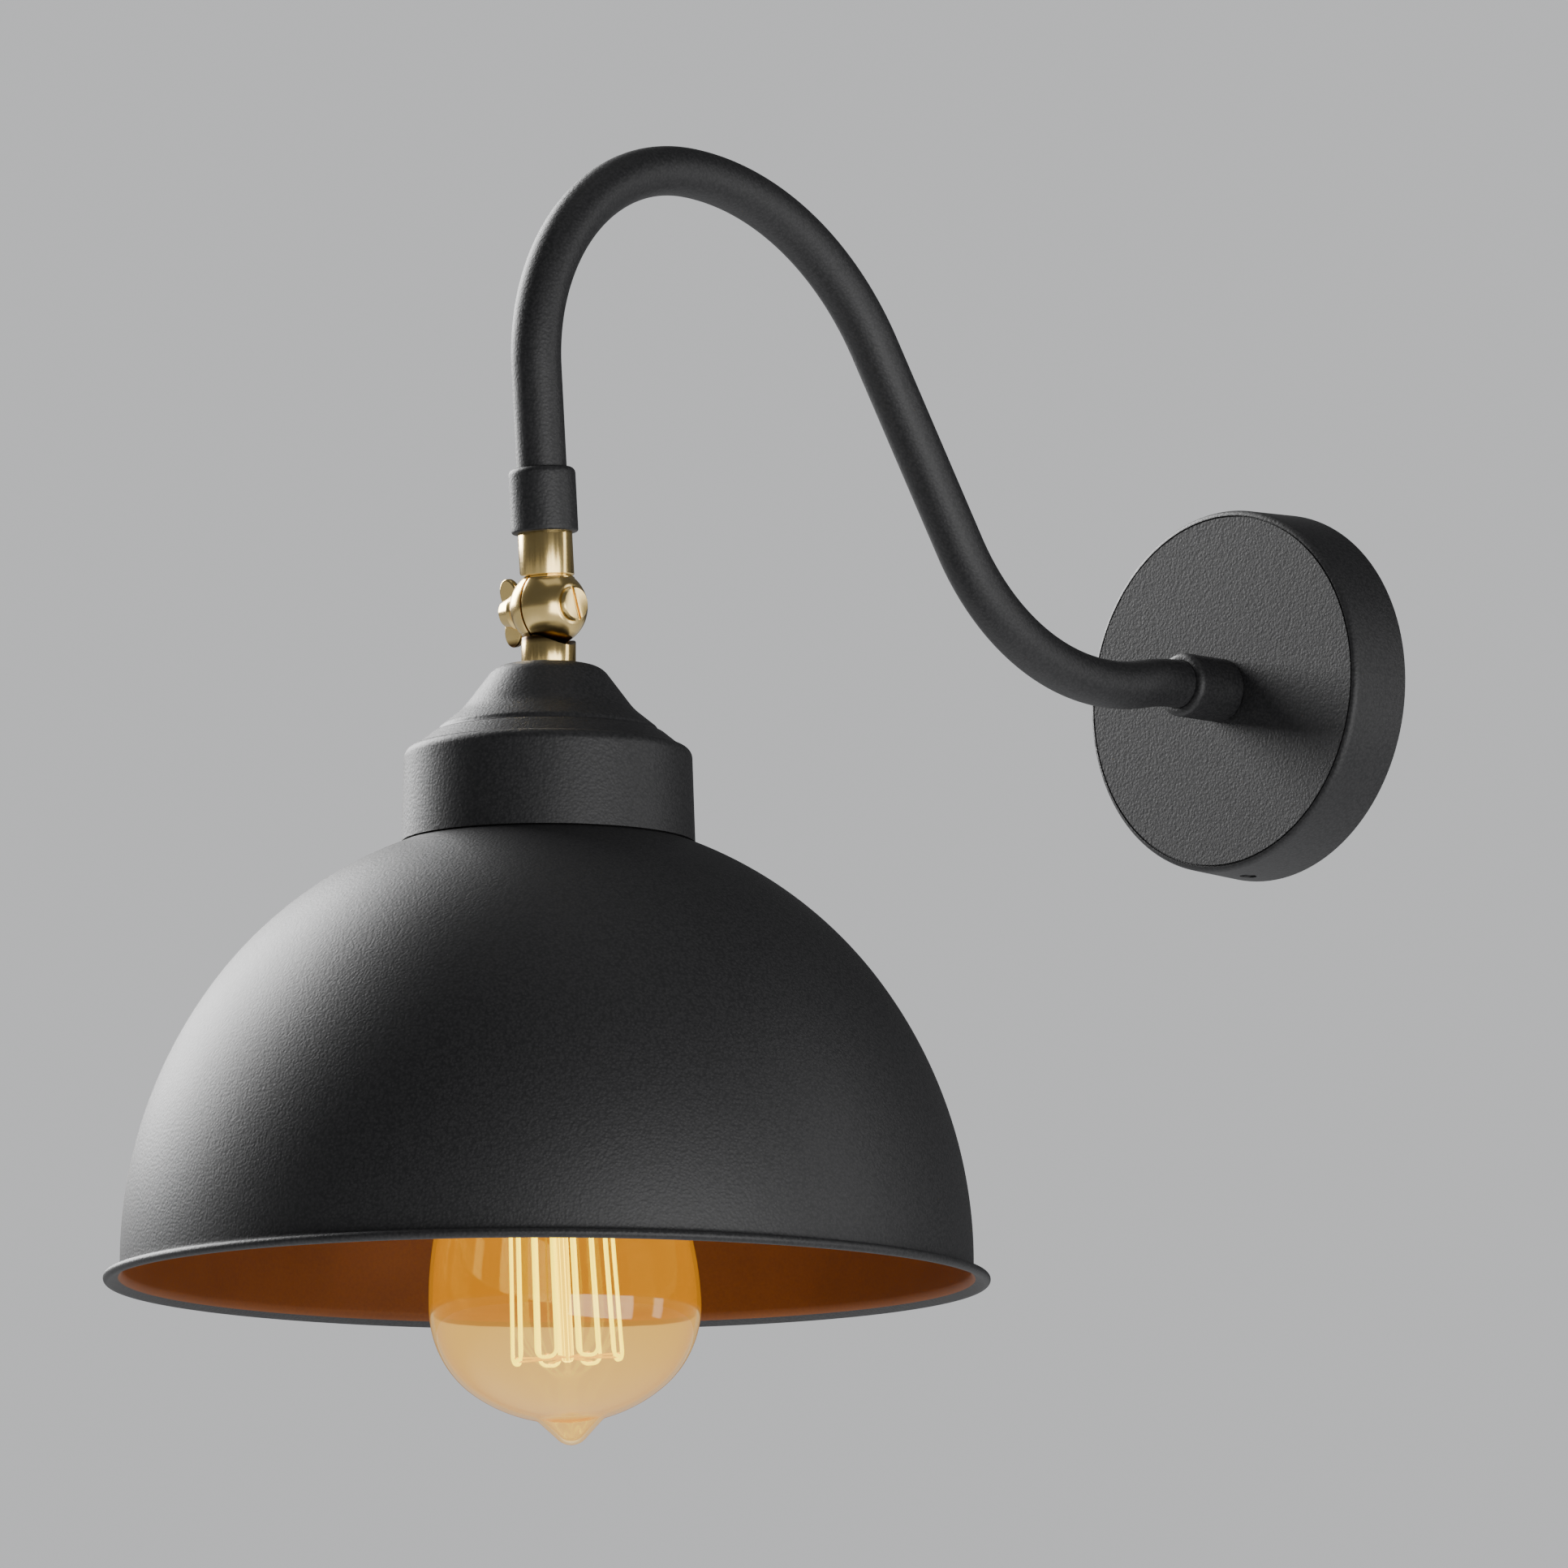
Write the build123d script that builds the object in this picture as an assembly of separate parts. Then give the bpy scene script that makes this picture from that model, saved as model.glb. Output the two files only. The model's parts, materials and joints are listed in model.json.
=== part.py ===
from build123d import *
import os
from math import acos, atan2, cos, degrees, hypot, radians, sin, sqrt

# Gooseneck wall sconce: a canopy on the wall, a bent tube arm, a brass knuckle and a domed shade
# that hangs round a large filament lamp.
# Frame: +Z up, origin on the wall in the middle of the canopy, wall plane at Y = 0, and the arm
# reaches along -Y in the plane X = 0. Millimetres and degrees.

# ------------------------------------------------------------------------------ driving sizes
# Fits, shared by whatever goes together
thread_gap = 0.05          # radial play of a plain-turned thread in its tapped hole
slip_gap = 0.15            # pieces of one body that only pass or touch
pivot_gap = 0.05           # radial play of a turning piece on its pin
moving_gap = 0.35          # curved faces that swing past each other
seat_gap = 0.45            # stack of washers and nuts under the cap
overcut = 1.0              # a cutting tool runs this far past the face that it opens

# Hollow lamp thread, nominally 10 mm by 1 mm
lamp_thread_radius = 4.95
lamp_bore_radius = 3.5
lock_nut_flats = 14.0
lock_nut_height = 3.0
lock_washer_radius = 8.0
lock_washer_height = 0.8
lock_washer_teeth = 12
lock_washer_notch = 1.2
nipple_proud = 1.0         # thread that shows past a lock nut

# Canopy, a tapered cup against the wall
canopy_rim_radius = 46.5
canopy_face_radius = 45.7
canopy_depth = 17.6
canopy_wall = 1.2
canopy_corner = 1.0
canopy_groove_inset = 1.3
canopy_groove = 0.45

# Mounting strap behind the canopy
strap_width = 26.0
strap_thickness = 2.0
strap_tab_length = 12.0
strap_tab_width = 14.0
strap_tab_gap = 0.6        # tab to the inside of the canopy
strap_bend = 3.0
wall_screw_pitch = 60.0
wall_slot_length = 14.0
wall_slot_radius = 2.5
strap_cable_hole = 8.0
side_screw_radius = 2.0
side_screw_length = 5.0
side_screw_height = 8.0    # from the wall

# Terminal block, earth screw and cable
block_width = 30.0
block_height = 12.0
block_depth = 10.5
block_drop = 18.5          # centre of the block below the arm's axis
block_pitch = 9.5          # each terminal from the middle
block_round = 0.8
sleeve_radius = 2.0
sleeve_length = 11.0
block_screw_radius = 1.5
block_screw_head = 2.6
block_screw_length = 3.5
block_recess = 0.6
screw_end_inset = 0.5      # screws in the strap stop this short of the wall
earth_height = 17.0
earth_screw_radius = 2.0
earth_head_radius = 3.6
earth_head_height = 2.0
earth_lug_radius = 4.3
earth_lug_thickness = 1.0
earth_barrel_radius = 1.5
earth_barrel_length = 4.5
earth_barrel_end = 1.0     # closed end of the lug's barrel
cable_radius = 2.6
core_radius = 0.9
core_bend = 2.5
canopy_core_bend = 1.75
core_spread = 1.25         # centre of each core from the middle of the cable
core_angle = 30.0          # two of the three cores lie this far below the level
slot_depth = 0.7
slot_width = 0.8

# Arm: a round tube that dips from the wall, climbs, and turns over to the knuckle
tube_radius = 6.0
tube_wall = 1.0
arch_height = 106.5        # tube's centre above the canopy's centre
pivot_drop = 5.2           # knuckle's pivot below the canopy's centre
wall_straight = 16.0
wall_bend = 60.0
foot_dip = 12.1
foot_bend = 62.4
climb_angle = 57.0
shoulder_bend = 77.0
front_bend = 50.5
end_lean = 4.25            # the tube's front end leans out from upright

# Ferrules on both ends of the tube
ferrule_radius = 8.0
ferrule_length = 15.6
ferrule_thread_depth = 7.5
ferrule_edge = 0.5
thread_end_gap = 0.5       # a threaded end stops this short of its seat

# Knuckle: two halves of a ball on one pivot
ball_radius = 9.3
neck_radius = 6.5
neck_groove = 0.5
upper_neck_length = 17.8   # pivot to the ferrule
lower_neck_length = 14.2   # pivot to the cap
spigot_length = 7.0
ear_seat = 8.0             # flat on each ear, from the middle
ear_pocket_radius = 6.6
ear_pocket_depth = 4.6
ear_boss_radius = 3.6
friction_washer = 0.6      # thickness between the two ears
pivot_radius = 2.0
pivot_head_radius = 4.2
pivot_head_height = 1.5
pivot_slot_turn = 20.0
pivot_end_proud = 1.0
nut_washer_height = 0.8
nut_washer_radius = 4.2

# Wing nut
hub_radius = 4.6
hub_top_radius = 3.4
hub_height = 5.0
hub_rim = 1.2
wing_rise = 3.5            # middle of each leaf from the nut's seat
wing_offset = 4.4          # middle of each leaf from the axis
wing_half_length = 3.9
wing_half_width = 2.9
wing_thickness = 1.8
wing_flare = 15.0
wing_edge = 0.5
wing_turn = 10.0           # rest angle of the wings from upright

# Cap cone on top of the shade: its middle surface, as radii and drops from the top
cap_wall = 1.0
cap_shoulder_radius = 12.25
cap_waist_radius = 20.15
cap_waist_drop = 10.95
cap_foot_radius = 30.95
cap_height = 19.6
cap_shoulder_bend = 6.5
cap_waist_bend = 14.5
cap_groove_drop = 15.6
cap_groove = 0.5

# Collar under the cap
collar_wall = 1.0
collar_height = 21.2       # top to the shade's flat seat
collar_top_radius = 34.2
collar_foot_radius = 35.0
collar_corner = 2.2
collar_hole_radius = 22.0

# Dome shade with a rolled rim
shade_wall = 0.8
shade_radius = 100.9       # outside, at its widest above the rim
crown_radius = 99.0
side_radius = 111.0
side_turn = 36.3
seat_radius = 26.0
seat_bend = 8.0
shade_skirt = 3.0
roll_radius = 2.4
roll_turn = 290.0

# Lampholder, 27 mm Edison size
holder_radius = 19.5
holder_wall = 2.0
holder_length = 66.0       # top of the neck to the mouth
holder_neck_radius = 8.0
holder_neck_length = 7.0
holder_shoulder = 16.0
holder_cap_length = 29.0
holder_spigot = 4.0
holder_lip = 3.0
holder_thread_rings = 8
holder_thread_pitch = 2.5
holder_thread_depth = 0.5
ledge_radius = 15.0
insert_flange = 2.5
insert_boss = 1.2
shell_radius = 13.5        # inside, clear of the lamp's crests
shell_wall = 0.5
shell_hole = 9.5
contact_width = 6.0
contact_thickness = 0.5
terminal_place = 9.5
terminal_width = 7.0
terminal_length = 9.0
terminal_height = 5.0
terminal_screw_radius = 1.3
terminal_screw_place = 1.8
terminal_wire_place = 2.4
terminal_head_radius = 2.4
terminal_head_height = 1.6
terminal_screw_depth = 3.5
rivet_radius = 1.2
grub_radius = 1.5
ring_margin = 1.0          # shade rings stay this far inside the flat seat
upper_ring_height = 4.0
lower_ring_height = 7.0
lower_ring_flange = 2.2
lower_ring_wall = 3.0

# Lamp: screw cap, teardrop envelope, stem and cage filament
lamp_pitch = 3.63
lamp_pitches = 4
lamp_crest_radius = 13.1
lamp_root_radius = 12.5
lamp_cap_wall = 0.35
lamp_cap_length = 22.0
lamp_cap_opening = 9.0
lamp_thread_round = 0.8
lamp_cap_crown = 1.0       # rise of the cap's end towards its button
lamp_cap_slope = 0.5       # fall of the cap's end towards its thread
lamp_foot_length = 4.6
lamp_button_radius = 4.6
lamp_button_height = 1.0
lamp_proud = 0.25          # the screw cap's mouth above the holder's
glass_wall = 0.9
glass_neck_radius = 11.5
glass_neck_inset = 7.0
glass_neck_proud = 3.0
glass_radius = 32.2
glass_flare = 21.5
glass_neck_bend = 60.0     # bends of the glass's middle surface
glass_shoulder_bend = 81.0
glass_side_bend = 24.6
glass_bowl_height = 27.0
glass_tip_start = 8.6
glass_tip_slope = 45.0
glass_tip_hollow = 3.0
glass_tip_bend = 4.0
glass_lean = 3.0           # the envelope sits a little crooked in its cap
stem_flare_height = 5.0
stem_flare_foot = 5.0
stem_flare_bend = 3.0
stem_radius = 3.6
stem_wall = 0.8
stem_press = 8.0
stem_length = 22.0
stem_rod_radius = 1.5
filament_radius = 0.3
filament_hairpins = 8
filament_top_radius = 11.0
filament_foot_radius = 13.2
filament_bend = 1.9
filament_sweep = 332.0     # the cage stays open between its two ends
filament_length = 68.0
filament_drop = 27.0       # top of the cage below the lamp's cap
support_radius = 0.25
support_hook = 0.5
touch_gap = 0.05           # fine wires that only lean on each other
lead_radius = 0.3
lead_spread = 2.0
lead_drop = 1.8
lead_bend = 1.0


# ------------------------------------------------------------------------------ the arm's route
cable_end = ball_radius + moving_gap + slip_gap
lower_socket_depth = lower_neck_length - ball_radius - moving_gap
front_run = (
    arch_height + pivot_drop - front_bend * (1 + sin(radians(end_lean)))
) / cos(radians(end_lean))
climb_run = (
    arch_height
    - shoulder_bend * (1 - cos(radians(climb_angle)))
    + foot_bend * (cos(radians(climb_angle)) - cos(radians(foot_dip)))
    + wall_bend * (1 - cos(radians(foot_dip)))
) / sin(radians(climb_angle))


def arm_route(start, stop_short):
    """Centreline in (Y, Z) from Y = -start to stop_short before the pivot, in tangent arcs."""
    line = Line((-start, 0), (-canopy_depth - wall_straight, 0))
    dip = JernArc(line @ 1, line % 1, wall_bend, foot_dip)
    foot = JernArc(dip @ 1, dip % 1, foot_bend, -foot_dip - climb_angle)
    climb = Line(foot @ 1, foot @ 1 + (foot % 1) * climb_run)
    shoulder = JernArc(climb @ 1, climb % 1, shoulder_bend, climb_angle)
    front = JernArc(shoulder @ 1, shoulder % 1, front_bend, 90 + end_lean)
    drop = Line(front @ 1, front @ 1 + (front % 1) * (front_run - stop_short))
    return Wire([line, dip, foot, climb, shoulder, front, drop])


pivot = arm_route(canopy_depth, 0) @ 1
reach = -pivot.X
pivot_z = pivot.Y
print(f"reach {reach:.2f}, pivot height {pivot_z:.2f}, runs {climb_run:.1f} and {front_run:.1f}")

# ------------------------------------------------------------------------------ levels
cap_top = pivot_z - lower_neck_length
collar_top = cap_top - cap_height
seat_z = collar_top - collar_height
holder_top = cap_top - cap_wall - lock_washer_height - lock_nut_height - seat_gap
holder_cap_foot = holder_top - holder_cap_length
holder_mouth = holder_top - holder_length
spigot_foot = holder_cap_foot - holder_spigot
insert_top = spigot_foot - slip_gap
ledge_top = insert_top - insert_flange - slip_gap
insert_foot = ledge_top - insert_boss
lamp_mouth = holder_mouth + lamp_proud
lamp_shoulder = lamp_mouth + lamp_cap_length
lamp_button = lamp_shoulder + lamp_foot_length
lamp_top = lamp_button + lamp_button_height
filament_top = lamp_mouth - filament_drop
filament_foot = filament_top - filament_length
stem_foot = lamp_mouth - stem_length


# ------------------------------------------------------------------------------ helpers
def turned(face):
    """Solid of revolution about Z of a face drawn as (radius, height)."""
    return revolve(Plane.XZ * face, Axis.Z)


def turned_outline(*points):
    """Solid of revolution about Z of a closed outline with straight sides."""
    return turned(make_face(Polyline(*points, close=True)))


def tube(outer, inner, low, high):
    """Hollow cylinder on Z between two heights."""
    return turned_outline((inner, low), (outer, low), (outer, high), (inner, high))


def rod(radius, low, high):
    """Solid cylinder on Z between two heights."""
    upright = (Align.CENTER, Align.CENTER, Align.MIN)
    return Pos(0, 0, low) * Cylinder(radius, high - low, align=upright)


def slotted(shape, radius, top):
    """Screwdriver slot across the top of a screw on Z."""
    return shape - Pos(0, 0, top) * Box(3 * radius, slot_width, 2 * slot_depth)


def bent_wire(points, radius, bend):
    """Round wire through hand-chosen points, with the same bend at each corner."""
    path = FilletPolyline(*points, radius=bend)
    return sweep(Plane(origin=path @ 0, z_dir=path % 0) * Circle(radius), path=path)


def lock_nut(low):
    """Hexagon nut for the lamp thread, its corners turned off at both ends."""
    corner = lock_nut_flats / sqrt(3)
    edge = corner - lock_nut_flats / 2
    hexagon = extrude(Plane.XY.offset(low) * RegularPolygon(corner, 6), lock_nut_height)
    turned_off = turned_outline(
        (lamp_thread_radius + thread_gap, low),
        (corner - edge / 2, low),
        (corner, low + edge / 2),
        (corner, low + lock_nut_height - edge / 2),
        (corner - edge / 2, low + lock_nut_height),
        (lamp_thread_radius + thread_gap, low + lock_nut_height),
    )
    return hexagon & turned_off


def lock_washer(low):
    """Toothed washer for the lamp thread."""
    washer = tube(lock_washer_radius, lamp_thread_radius + slip_gap, low, low + lock_washer_height)
    notch = Pos(lock_washer_radius, 0, low) * Box(
        2 * lock_washer_notch, lock_washer_notch, 3 * lock_washer_height
    )
    for tooth in range(lock_washer_teeth):
        washer -= Rotation(0, 0, tooth * 360 / lock_washer_teeth) * notch
    return washer


def outward(shape):
    """Turn a piece built on Z so that its +Z points out from the wall, and its Y points up."""
    return Rotation(90, 0, 0) * shape


def hang(shape):
    """Set a piece built on Z at the shade's axis, heights kept."""
    return Pos(0, -reach, 0) * shape


def at_pivot(shape):
    """Set a piece built about the origin at the knuckle's pivot."""
    return Pos(0, -reach, pivot_z) * shape


def in_line_with_arm(shape):
    """Set a piece built on Z above the pivot in line with the arm's leaning end."""
    return at_pivot(Rotation(end_lean, 0, 0) * shape)


parts = {}

# ------------------------------------------------------------------------------ canopy
# The sheet follows its middle line: side wall from the rim, a small corner, then the face.
canopy_middle = canopy_depth - canopy_wall / 2
canopy_line = FilletPolyline(
    (canopy_rim_radius - canopy_wall / 2, -canopy_wall),
    (canopy_face_radius - canopy_wall / 2, canopy_middle),
    (lamp_thread_radius + slip_gap, canopy_middle),
    radius=canopy_corner,
)
groove_radius = canopy_face_radius - canopy_groove_inset
canopy = turned(trace(canopy_line, canopy_wall))
canopy -= rod(2 * canopy_rim_radius, -2 * canopy_wall, 0)
canopy -= tube(
    groove_radius, groove_radius - canopy_groove, canopy_depth - canopy_groove, canopy_depth + overcut
)
side_hole = Cylinder(side_screw_radius + slip_gap, 3 * canopy_rim_radius)
parts["wall_canopy"] = outward(canopy) - Pos(0, -side_screw_height, 0) * side_hole

# ------------------------------------------------------------------------------ mounting strap
# A strip with both ends bent out from the wall, narrowed at the tabs to fit the round canopy.
strap_reach = canopy_face_radius - canopy_wall - strap_tab_gap
strap_middle = strap_reach - strap_thickness / 2
strap_line = FilletPolyline(
    (strap_middle, strap_tab_length),
    (strap_middle, strap_thickness / 2),
    (-strap_middle, strap_thickness / 2),
    (-strap_middle, strap_tab_length),
    radius=strap_bend,
)
strap_profile = Plane(origin=(0, 0, 0), x_dir=(0, 0, 1), z_dir=(1, 0, 0)) * trace(
    strap_line, strap_thickness
)
strap = extrude(strap_profile, strap_width / 2, both=True)
corner_cut = Box(strap_width, 3 * strap_tab_length, 4 * strap_bend)
wall_slot = extrude(
    Plane.XZ * SlotOverall(wall_slot_length, 2 * wall_slot_radius, rotation=90),
    strap_tab_length,
    both=True,
)
for side in (1, -1):
    for edge in (1, -1):
        strap -= Pos(edge * (strap_tab_width + strap_width) / 2, 0, side * strap_reach) * corner_cut
    strap -= Pos(0, 0, side * wall_screw_pitch / 2) * wall_slot
for radius, height in (
    (strap_cable_hole, 0),
    (earth_screw_radius + thread_gap, earth_height),
    (block_screw_radius + thread_gap, -block_drop),
):
    strap -= Pos(0, 0, height) * outward(rod(radius, -overcut, strap_thickness + overcut))
tab_hole = Cylinder(side_screw_radius + thread_gap, 3 * canopy_rim_radius)
parts["mounting_strap"] = strap - Pos(0, -side_screw_height, 0) * tab_hole

side_screw = slotted(
    rod(side_screw_radius, canopy_face_radius - side_screw_length, canopy_face_radius),
    side_screw_radius,
    canopy_face_radius,
)
parts["canopy_side_screws"] = Compound(
    [Pos(0, -side_screw_height, 0) * Rotation(turn, 0, 0) * side_screw for turn in (0, 180)]
)

# ------------------------------------------------------------------------------ canopy clamp
washer_face = canopy_depth - canopy_wall
nut_face = washer_face - lock_washer_height
nipple_end = nut_face - lock_nut_height - nipple_proud
parts["canopy_nipple"] = outward(
    tube(
        lamp_thread_radius,
        lamp_bore_radius,
        nipple_end,
        canopy_depth + ferrule_thread_depth - thread_end_gap,
    )
)
parts["canopy_washer"] = outward(lock_washer(nut_face))
parts["canopy_nut"] = outward(lock_nut(nut_face - lock_nut_height))

# ------------------------------------------------------------------------------ terminal block
wire_depth = strap_thickness + block_depth / 2
block_face = strap_thickness + block_depth
block_foot = block_face - block_recess
block = Pos(0, -wire_depth, -block_drop) * Box(block_width, block_depth, block_height)
block = fillet(block.edges().filter_by(Axis.Y), block_round)
sleeves = []
clamp_screws = []
for side in (1, -1):
    x = side * block_pitch
    bore = Pos(x, -wire_depth, -block_drop) * Cylinder(sleeve_radius, sleeve_length)
    entry = Pos(x, -wire_depth, -block_drop) * Cylinder(core_radius + slip_gap, 2 * block_height)
    across = Pos(x, 0, -block_drop) * outward(
        rod(block_screw_radius + slip_gap, wire_depth, 2 * block_face)
    )
    block = block - bore - entry - across
    sleeves.append(bore - entry - across)
    clamp = slotted(
        rod(block_screw_radius, block_foot - block_screw_length, block_foot),
        block_screw_radius,
        block_foot,
    )
    clamp_screws.append(Pos(x, 0, -block_drop) * outward(clamp))
fixing_seat = block_foot - block_screw_head / 2
fixing_hole = rod(block_screw_radius + slip_gap, -overcut, 2 * block_face)
fixing_sink = rod(block_screw_head + slip_gap, fixing_seat, 2 * block_face)
parts["terminal_block"] = block - Pos(0, 0, -block_drop) * outward(fixing_hole + fixing_sink)
parts["terminal_sleeves"] = Compound(sleeves)
parts["terminal_clamp_screws"] = Compound(clamp_screws)
fixing = rod(block_screw_radius, screw_end_inset, fixing_seat)
fixing += rod(block_screw_head, fixing_seat, block_foot)
parts["terminal_block_screw"] = Pos(0, 0, -block_drop) * outward(
    slotted(fixing, block_screw_head, block_foot)
)

# ------------------------------------------------------------------------------ earth terminal
lug_face = strap_thickness + earth_lug_thickness
barrel_depth = strap_thickness + earth_barrel_radius
barrel_top = earth_height - earth_head_radius - slip_gap
barrel_foot = barrel_top - earth_barrel_length
earth_screw = rod(earth_screw_radius, screw_end_inset, lug_face)
earth_screw += rod(earth_head_radius, lug_face, lug_face + earth_head_height)
earth_screw = slotted(earth_screw, earth_head_radius, lug_face + earth_head_height)
parts["earth_screw"] = Pos(0, 0, earth_height) * outward(earth_screw)
ring = tube(earth_lug_radius, earth_screw_radius + slip_gap, strap_thickness, lug_face)
lug = Pos(0, 0, earth_height) * outward(ring)
lug += Pos(0, -barrel_depth, 0) * rod(earth_barrel_radius, barrel_foot, barrel_top)
barrel_bore = rod(core_radius + touch_gap, barrel_foot - overcut, barrel_top - earth_barrel_end)
lug -= Pos(0, -barrel_depth, 0) * barrel_bore
parts["earth_lug"] = lug

# ------------------------------------------------------------------------------ arm
tube_route = arm_route(
    canopy_depth + ferrule_thread_depth, upper_neck_length + ferrule_thread_depth
)
tube_section = Circle(tube_radius) - Circle(tube_radius - tube_wall)
tube_start = Plane(origin=tube_route @ 0, z_dir=tube_route % 0)
parts["arm_tube"] = Plane.YZ * sweep(tube_start * tube_section, path=tube_route)
section_times_length = tube_section.area * tube_route.length
print(f"arm volume {parts['arm_tube'].volume:.0f}, section times length {section_times_length:.0f}")


def ferrule(seat):
    """Turned ferrule on Z from a seat: tapped for the lamp thread, then bored for the tube."""
    top = seat + ferrule_length
    return turned_outline(
        (lamp_thread_radius + thread_gap, seat),
        (ferrule_radius - ferrule_edge, seat),
        (ferrule_radius, seat + ferrule_edge),
        (ferrule_radius, top - ferrule_edge),
        (ferrule_radius - ferrule_edge, top),
        (tube_radius + thread_gap, top),
        (tube_radius + thread_gap, seat + ferrule_thread_depth),
        (lamp_thread_radius + thread_gap, seat + ferrule_thread_depth),
    )


parts["arm_rear_ferrule"] = outward(ferrule(canopy_depth))
parts["arm_front_ferrule"] = in_line_with_arm(ferrule(upper_neck_length))

# ------------------------------------------------------------------------------ wiring in the arm
cable_route = arm_route(nipple_end, cable_end)
cable_start = Plane(origin=cable_route @ 0, z_dir=cable_route % 0)
parts["arm_cable"] = Plane.YZ * sweep(cable_start * Circle(cable_radius), path=cable_route)

core_low = -core_spread * sin(radians(core_angle))
core_side = core_spread * cos(radians(core_angle))
clamp_end = -block_drop + block_screw_radius + 2 * slip_gap
core_routes = [
    (
        (side * core_side, -nipple_end, core_low),
        (side * core_side, -wire_depth, core_low),
        (side * block_pitch, -wire_depth, -block_drop / 2),
        (side * block_pitch, -wire_depth, clamp_end),
    )
    for side in (1, -1)
]
core_routes.append(
    (
        (0, -nipple_end, core_spread),
        (0, -wire_depth, core_spread),
        (0, -barrel_depth, barrel_foot / 2),
        (0, -barrel_depth, barrel_top - earth_barrel_end),
    )
)
parts["canopy_cores"] = Compound(
    [bent_wire(route, core_radius, canopy_core_bend) for route in core_routes]
)


# ------------------------------------------------------------------------------ knuckle
def ball_slice(inner_points):
    """Ball about X between the ears' gap and the outer flat, its inside following the points."""
    flat_angle = degrees(acos(ear_seat / ball_radius))
    gap_angle = degrees(acos(friction_washer / 2 / ball_radius))
    rim = CenterArc((0, 0), ball_radius, flat_angle, gap_angle - flat_angle)
    inside = Polyline(rim @ 1, *inner_points, rim @ 0)
    return revolve(make_face([rim, inside]), Axis.X)


def knuckle_half(neck_length):
    """Half ball on the +X side with a neck along +Z, hollowed round its pivot boss."""
    face = friction_washer / 2
    pin_hole = pivot_radius + pivot_gap
    ear = ball_slice(
        [
            (face, ear_pocket_radius),
            (face + ear_pocket_depth, ear_pocket_radius),
            (face + ear_pocket_depth, ear_boss_radius),
            (face, ear_boss_radius),
            (face, pin_hole),
            (ear_seat, pin_hole),
        ]
    )
    groove_z = sqrt(ball_radius**2 - neck_radius**2)
    neck = turned_outline(
        (0, 0),
        (neck_radius, 0),
        (neck_radius, groove_z + neck_groove / 2),
        (neck_radius - neck_groove, groove_z + neck_groove),
        (neck_radius, groove_z + 2 * neck_groove),
        (neck_radius, neck_length),
        (0, neck_length),
    )
    neck -= ball_slice([(face, 0), (ear_seat, 0)])
    neck -= Rotation(0, 90, 0) * rod(ball_radius + moving_gap, -2 * ball_radius, face)
    return ear + neck - rod(lamp_bore_radius, ear_boss_radius + pivot_gap, 2 * neck_length)


upper = knuckle_half(upper_neck_length) + tube(
    lamp_thread_radius, lamp_bore_radius, upper_neck_length, upper_neck_length + spigot_length
)
parts["upper_knuckle"] = in_line_with_arm(upper)
lower = knuckle_half(lower_neck_length) - rod(
    lamp_thread_radius + thread_gap, lower_neck_length - lower_socket_depth, 2 * lower_neck_length
)
parts["lower_knuckle"] = at_pivot(Rotation(0, 180, 0) * lower)

nut_seat = ear_seat + nut_washer_height
screw_top = ear_seat + pivot_head_height
pivot_screw = rod(pivot_radius, -nut_seat - hub_height - pivot_end_proud, ear_seat)
pivot_screw += turned_outline(
    (0, ear_seat),
    (pivot_head_radius, ear_seat),
    (pivot_head_radius, screw_top - wing_edge),
    (pivot_head_radius - wing_edge, screw_top),
    (0, screw_top),
)
pivot_screw = Rotation(0, 0, pivot_slot_turn) * slotted(pivot_screw, pivot_head_radius, screw_top)
parts["pivot_screw"] = at_pivot(Rotation(0, 90, 0) * pivot_screw)
parts["friction_washer"] = at_pivot(
    Rotation(0, 90, 0)
    * tube(ear_boss_radius, pivot_radius + pivot_gap, -friction_washer / 2, friction_washer / 2)
)
parts["pivot_washer"] = at_pivot(
    Rotation(0, -90, 0) * tube(nut_washer_radius, pivot_radius + pivot_gap, ear_seat, nut_seat)
)

# The wing nut is built on Z above its seat, then turned to point along -X with upright wings.
wing_nut = turned_outline(
    (0, nut_seat),
    (hub_radius, nut_seat),
    (hub_radius, nut_seat + hub_rim),
    (hub_top_radius, nut_seat + hub_height),
    (0, nut_seat + hub_height),
)
for side in (1, -1):
    leaf = Pos(side * wing_offset, nut_seat + wing_rise) * Rotation(0, 0, side * wing_flare)
    leaf *= Ellipse(wing_half_length, wing_half_width)
    wing = extrude(Plane.XZ * leaf, wing_thickness / 2, both=True)
    wing_nut += fillet(wing.edges(), wing_edge)
wing_nut -= rod(pivot_radius + pivot_gap, 0, 3 * nut_seat)
parts["wing_nut"] = at_pivot(Rotation(wing_turn, 0, 0) * Rotation(0, -90, 0) * wing_nut)

# ------------------------------------------------------------------------------ cap and collar
cap_middle = cap_top - cap_wall / 2
cap_slope = (cap_foot_radius - cap_waist_radius) / (cap_height - cap_waist_drop)
cap_line = FilletPolyline(
    (lamp_thread_radius + slip_gap, cap_middle),
    (cap_shoulder_radius, cap_middle),
    (cap_waist_radius, cap_top - cap_waist_drop),
    (cap_foot_radius + cap_wall * cap_slope, collar_top - cap_wall),
    radius=(cap_shoulder_bend, cap_waist_bend),
)
cap_face = hypot(1, cap_slope) * cap_wall / 2
groove_z = cap_top - cap_groove_drop
groove_radius = cap_waist_radius + cap_slope * (cap_groove_drop - cap_waist_drop) + cap_face
cap = turned(trace(cap_line, cap_wall))
cap -= rod(2 * cap_foot_radius, collar_top - 3 * cap_wall, collar_top)
cap -= turned_outline(
    (groove_radius + cap_groove, groove_z + cap_groove),
    (groove_radius - cap_groove, groove_z),
    (groove_radius + cap_groove, groove_z - cap_groove),
)
parts["cap_cone"] = hang(cap)

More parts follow.
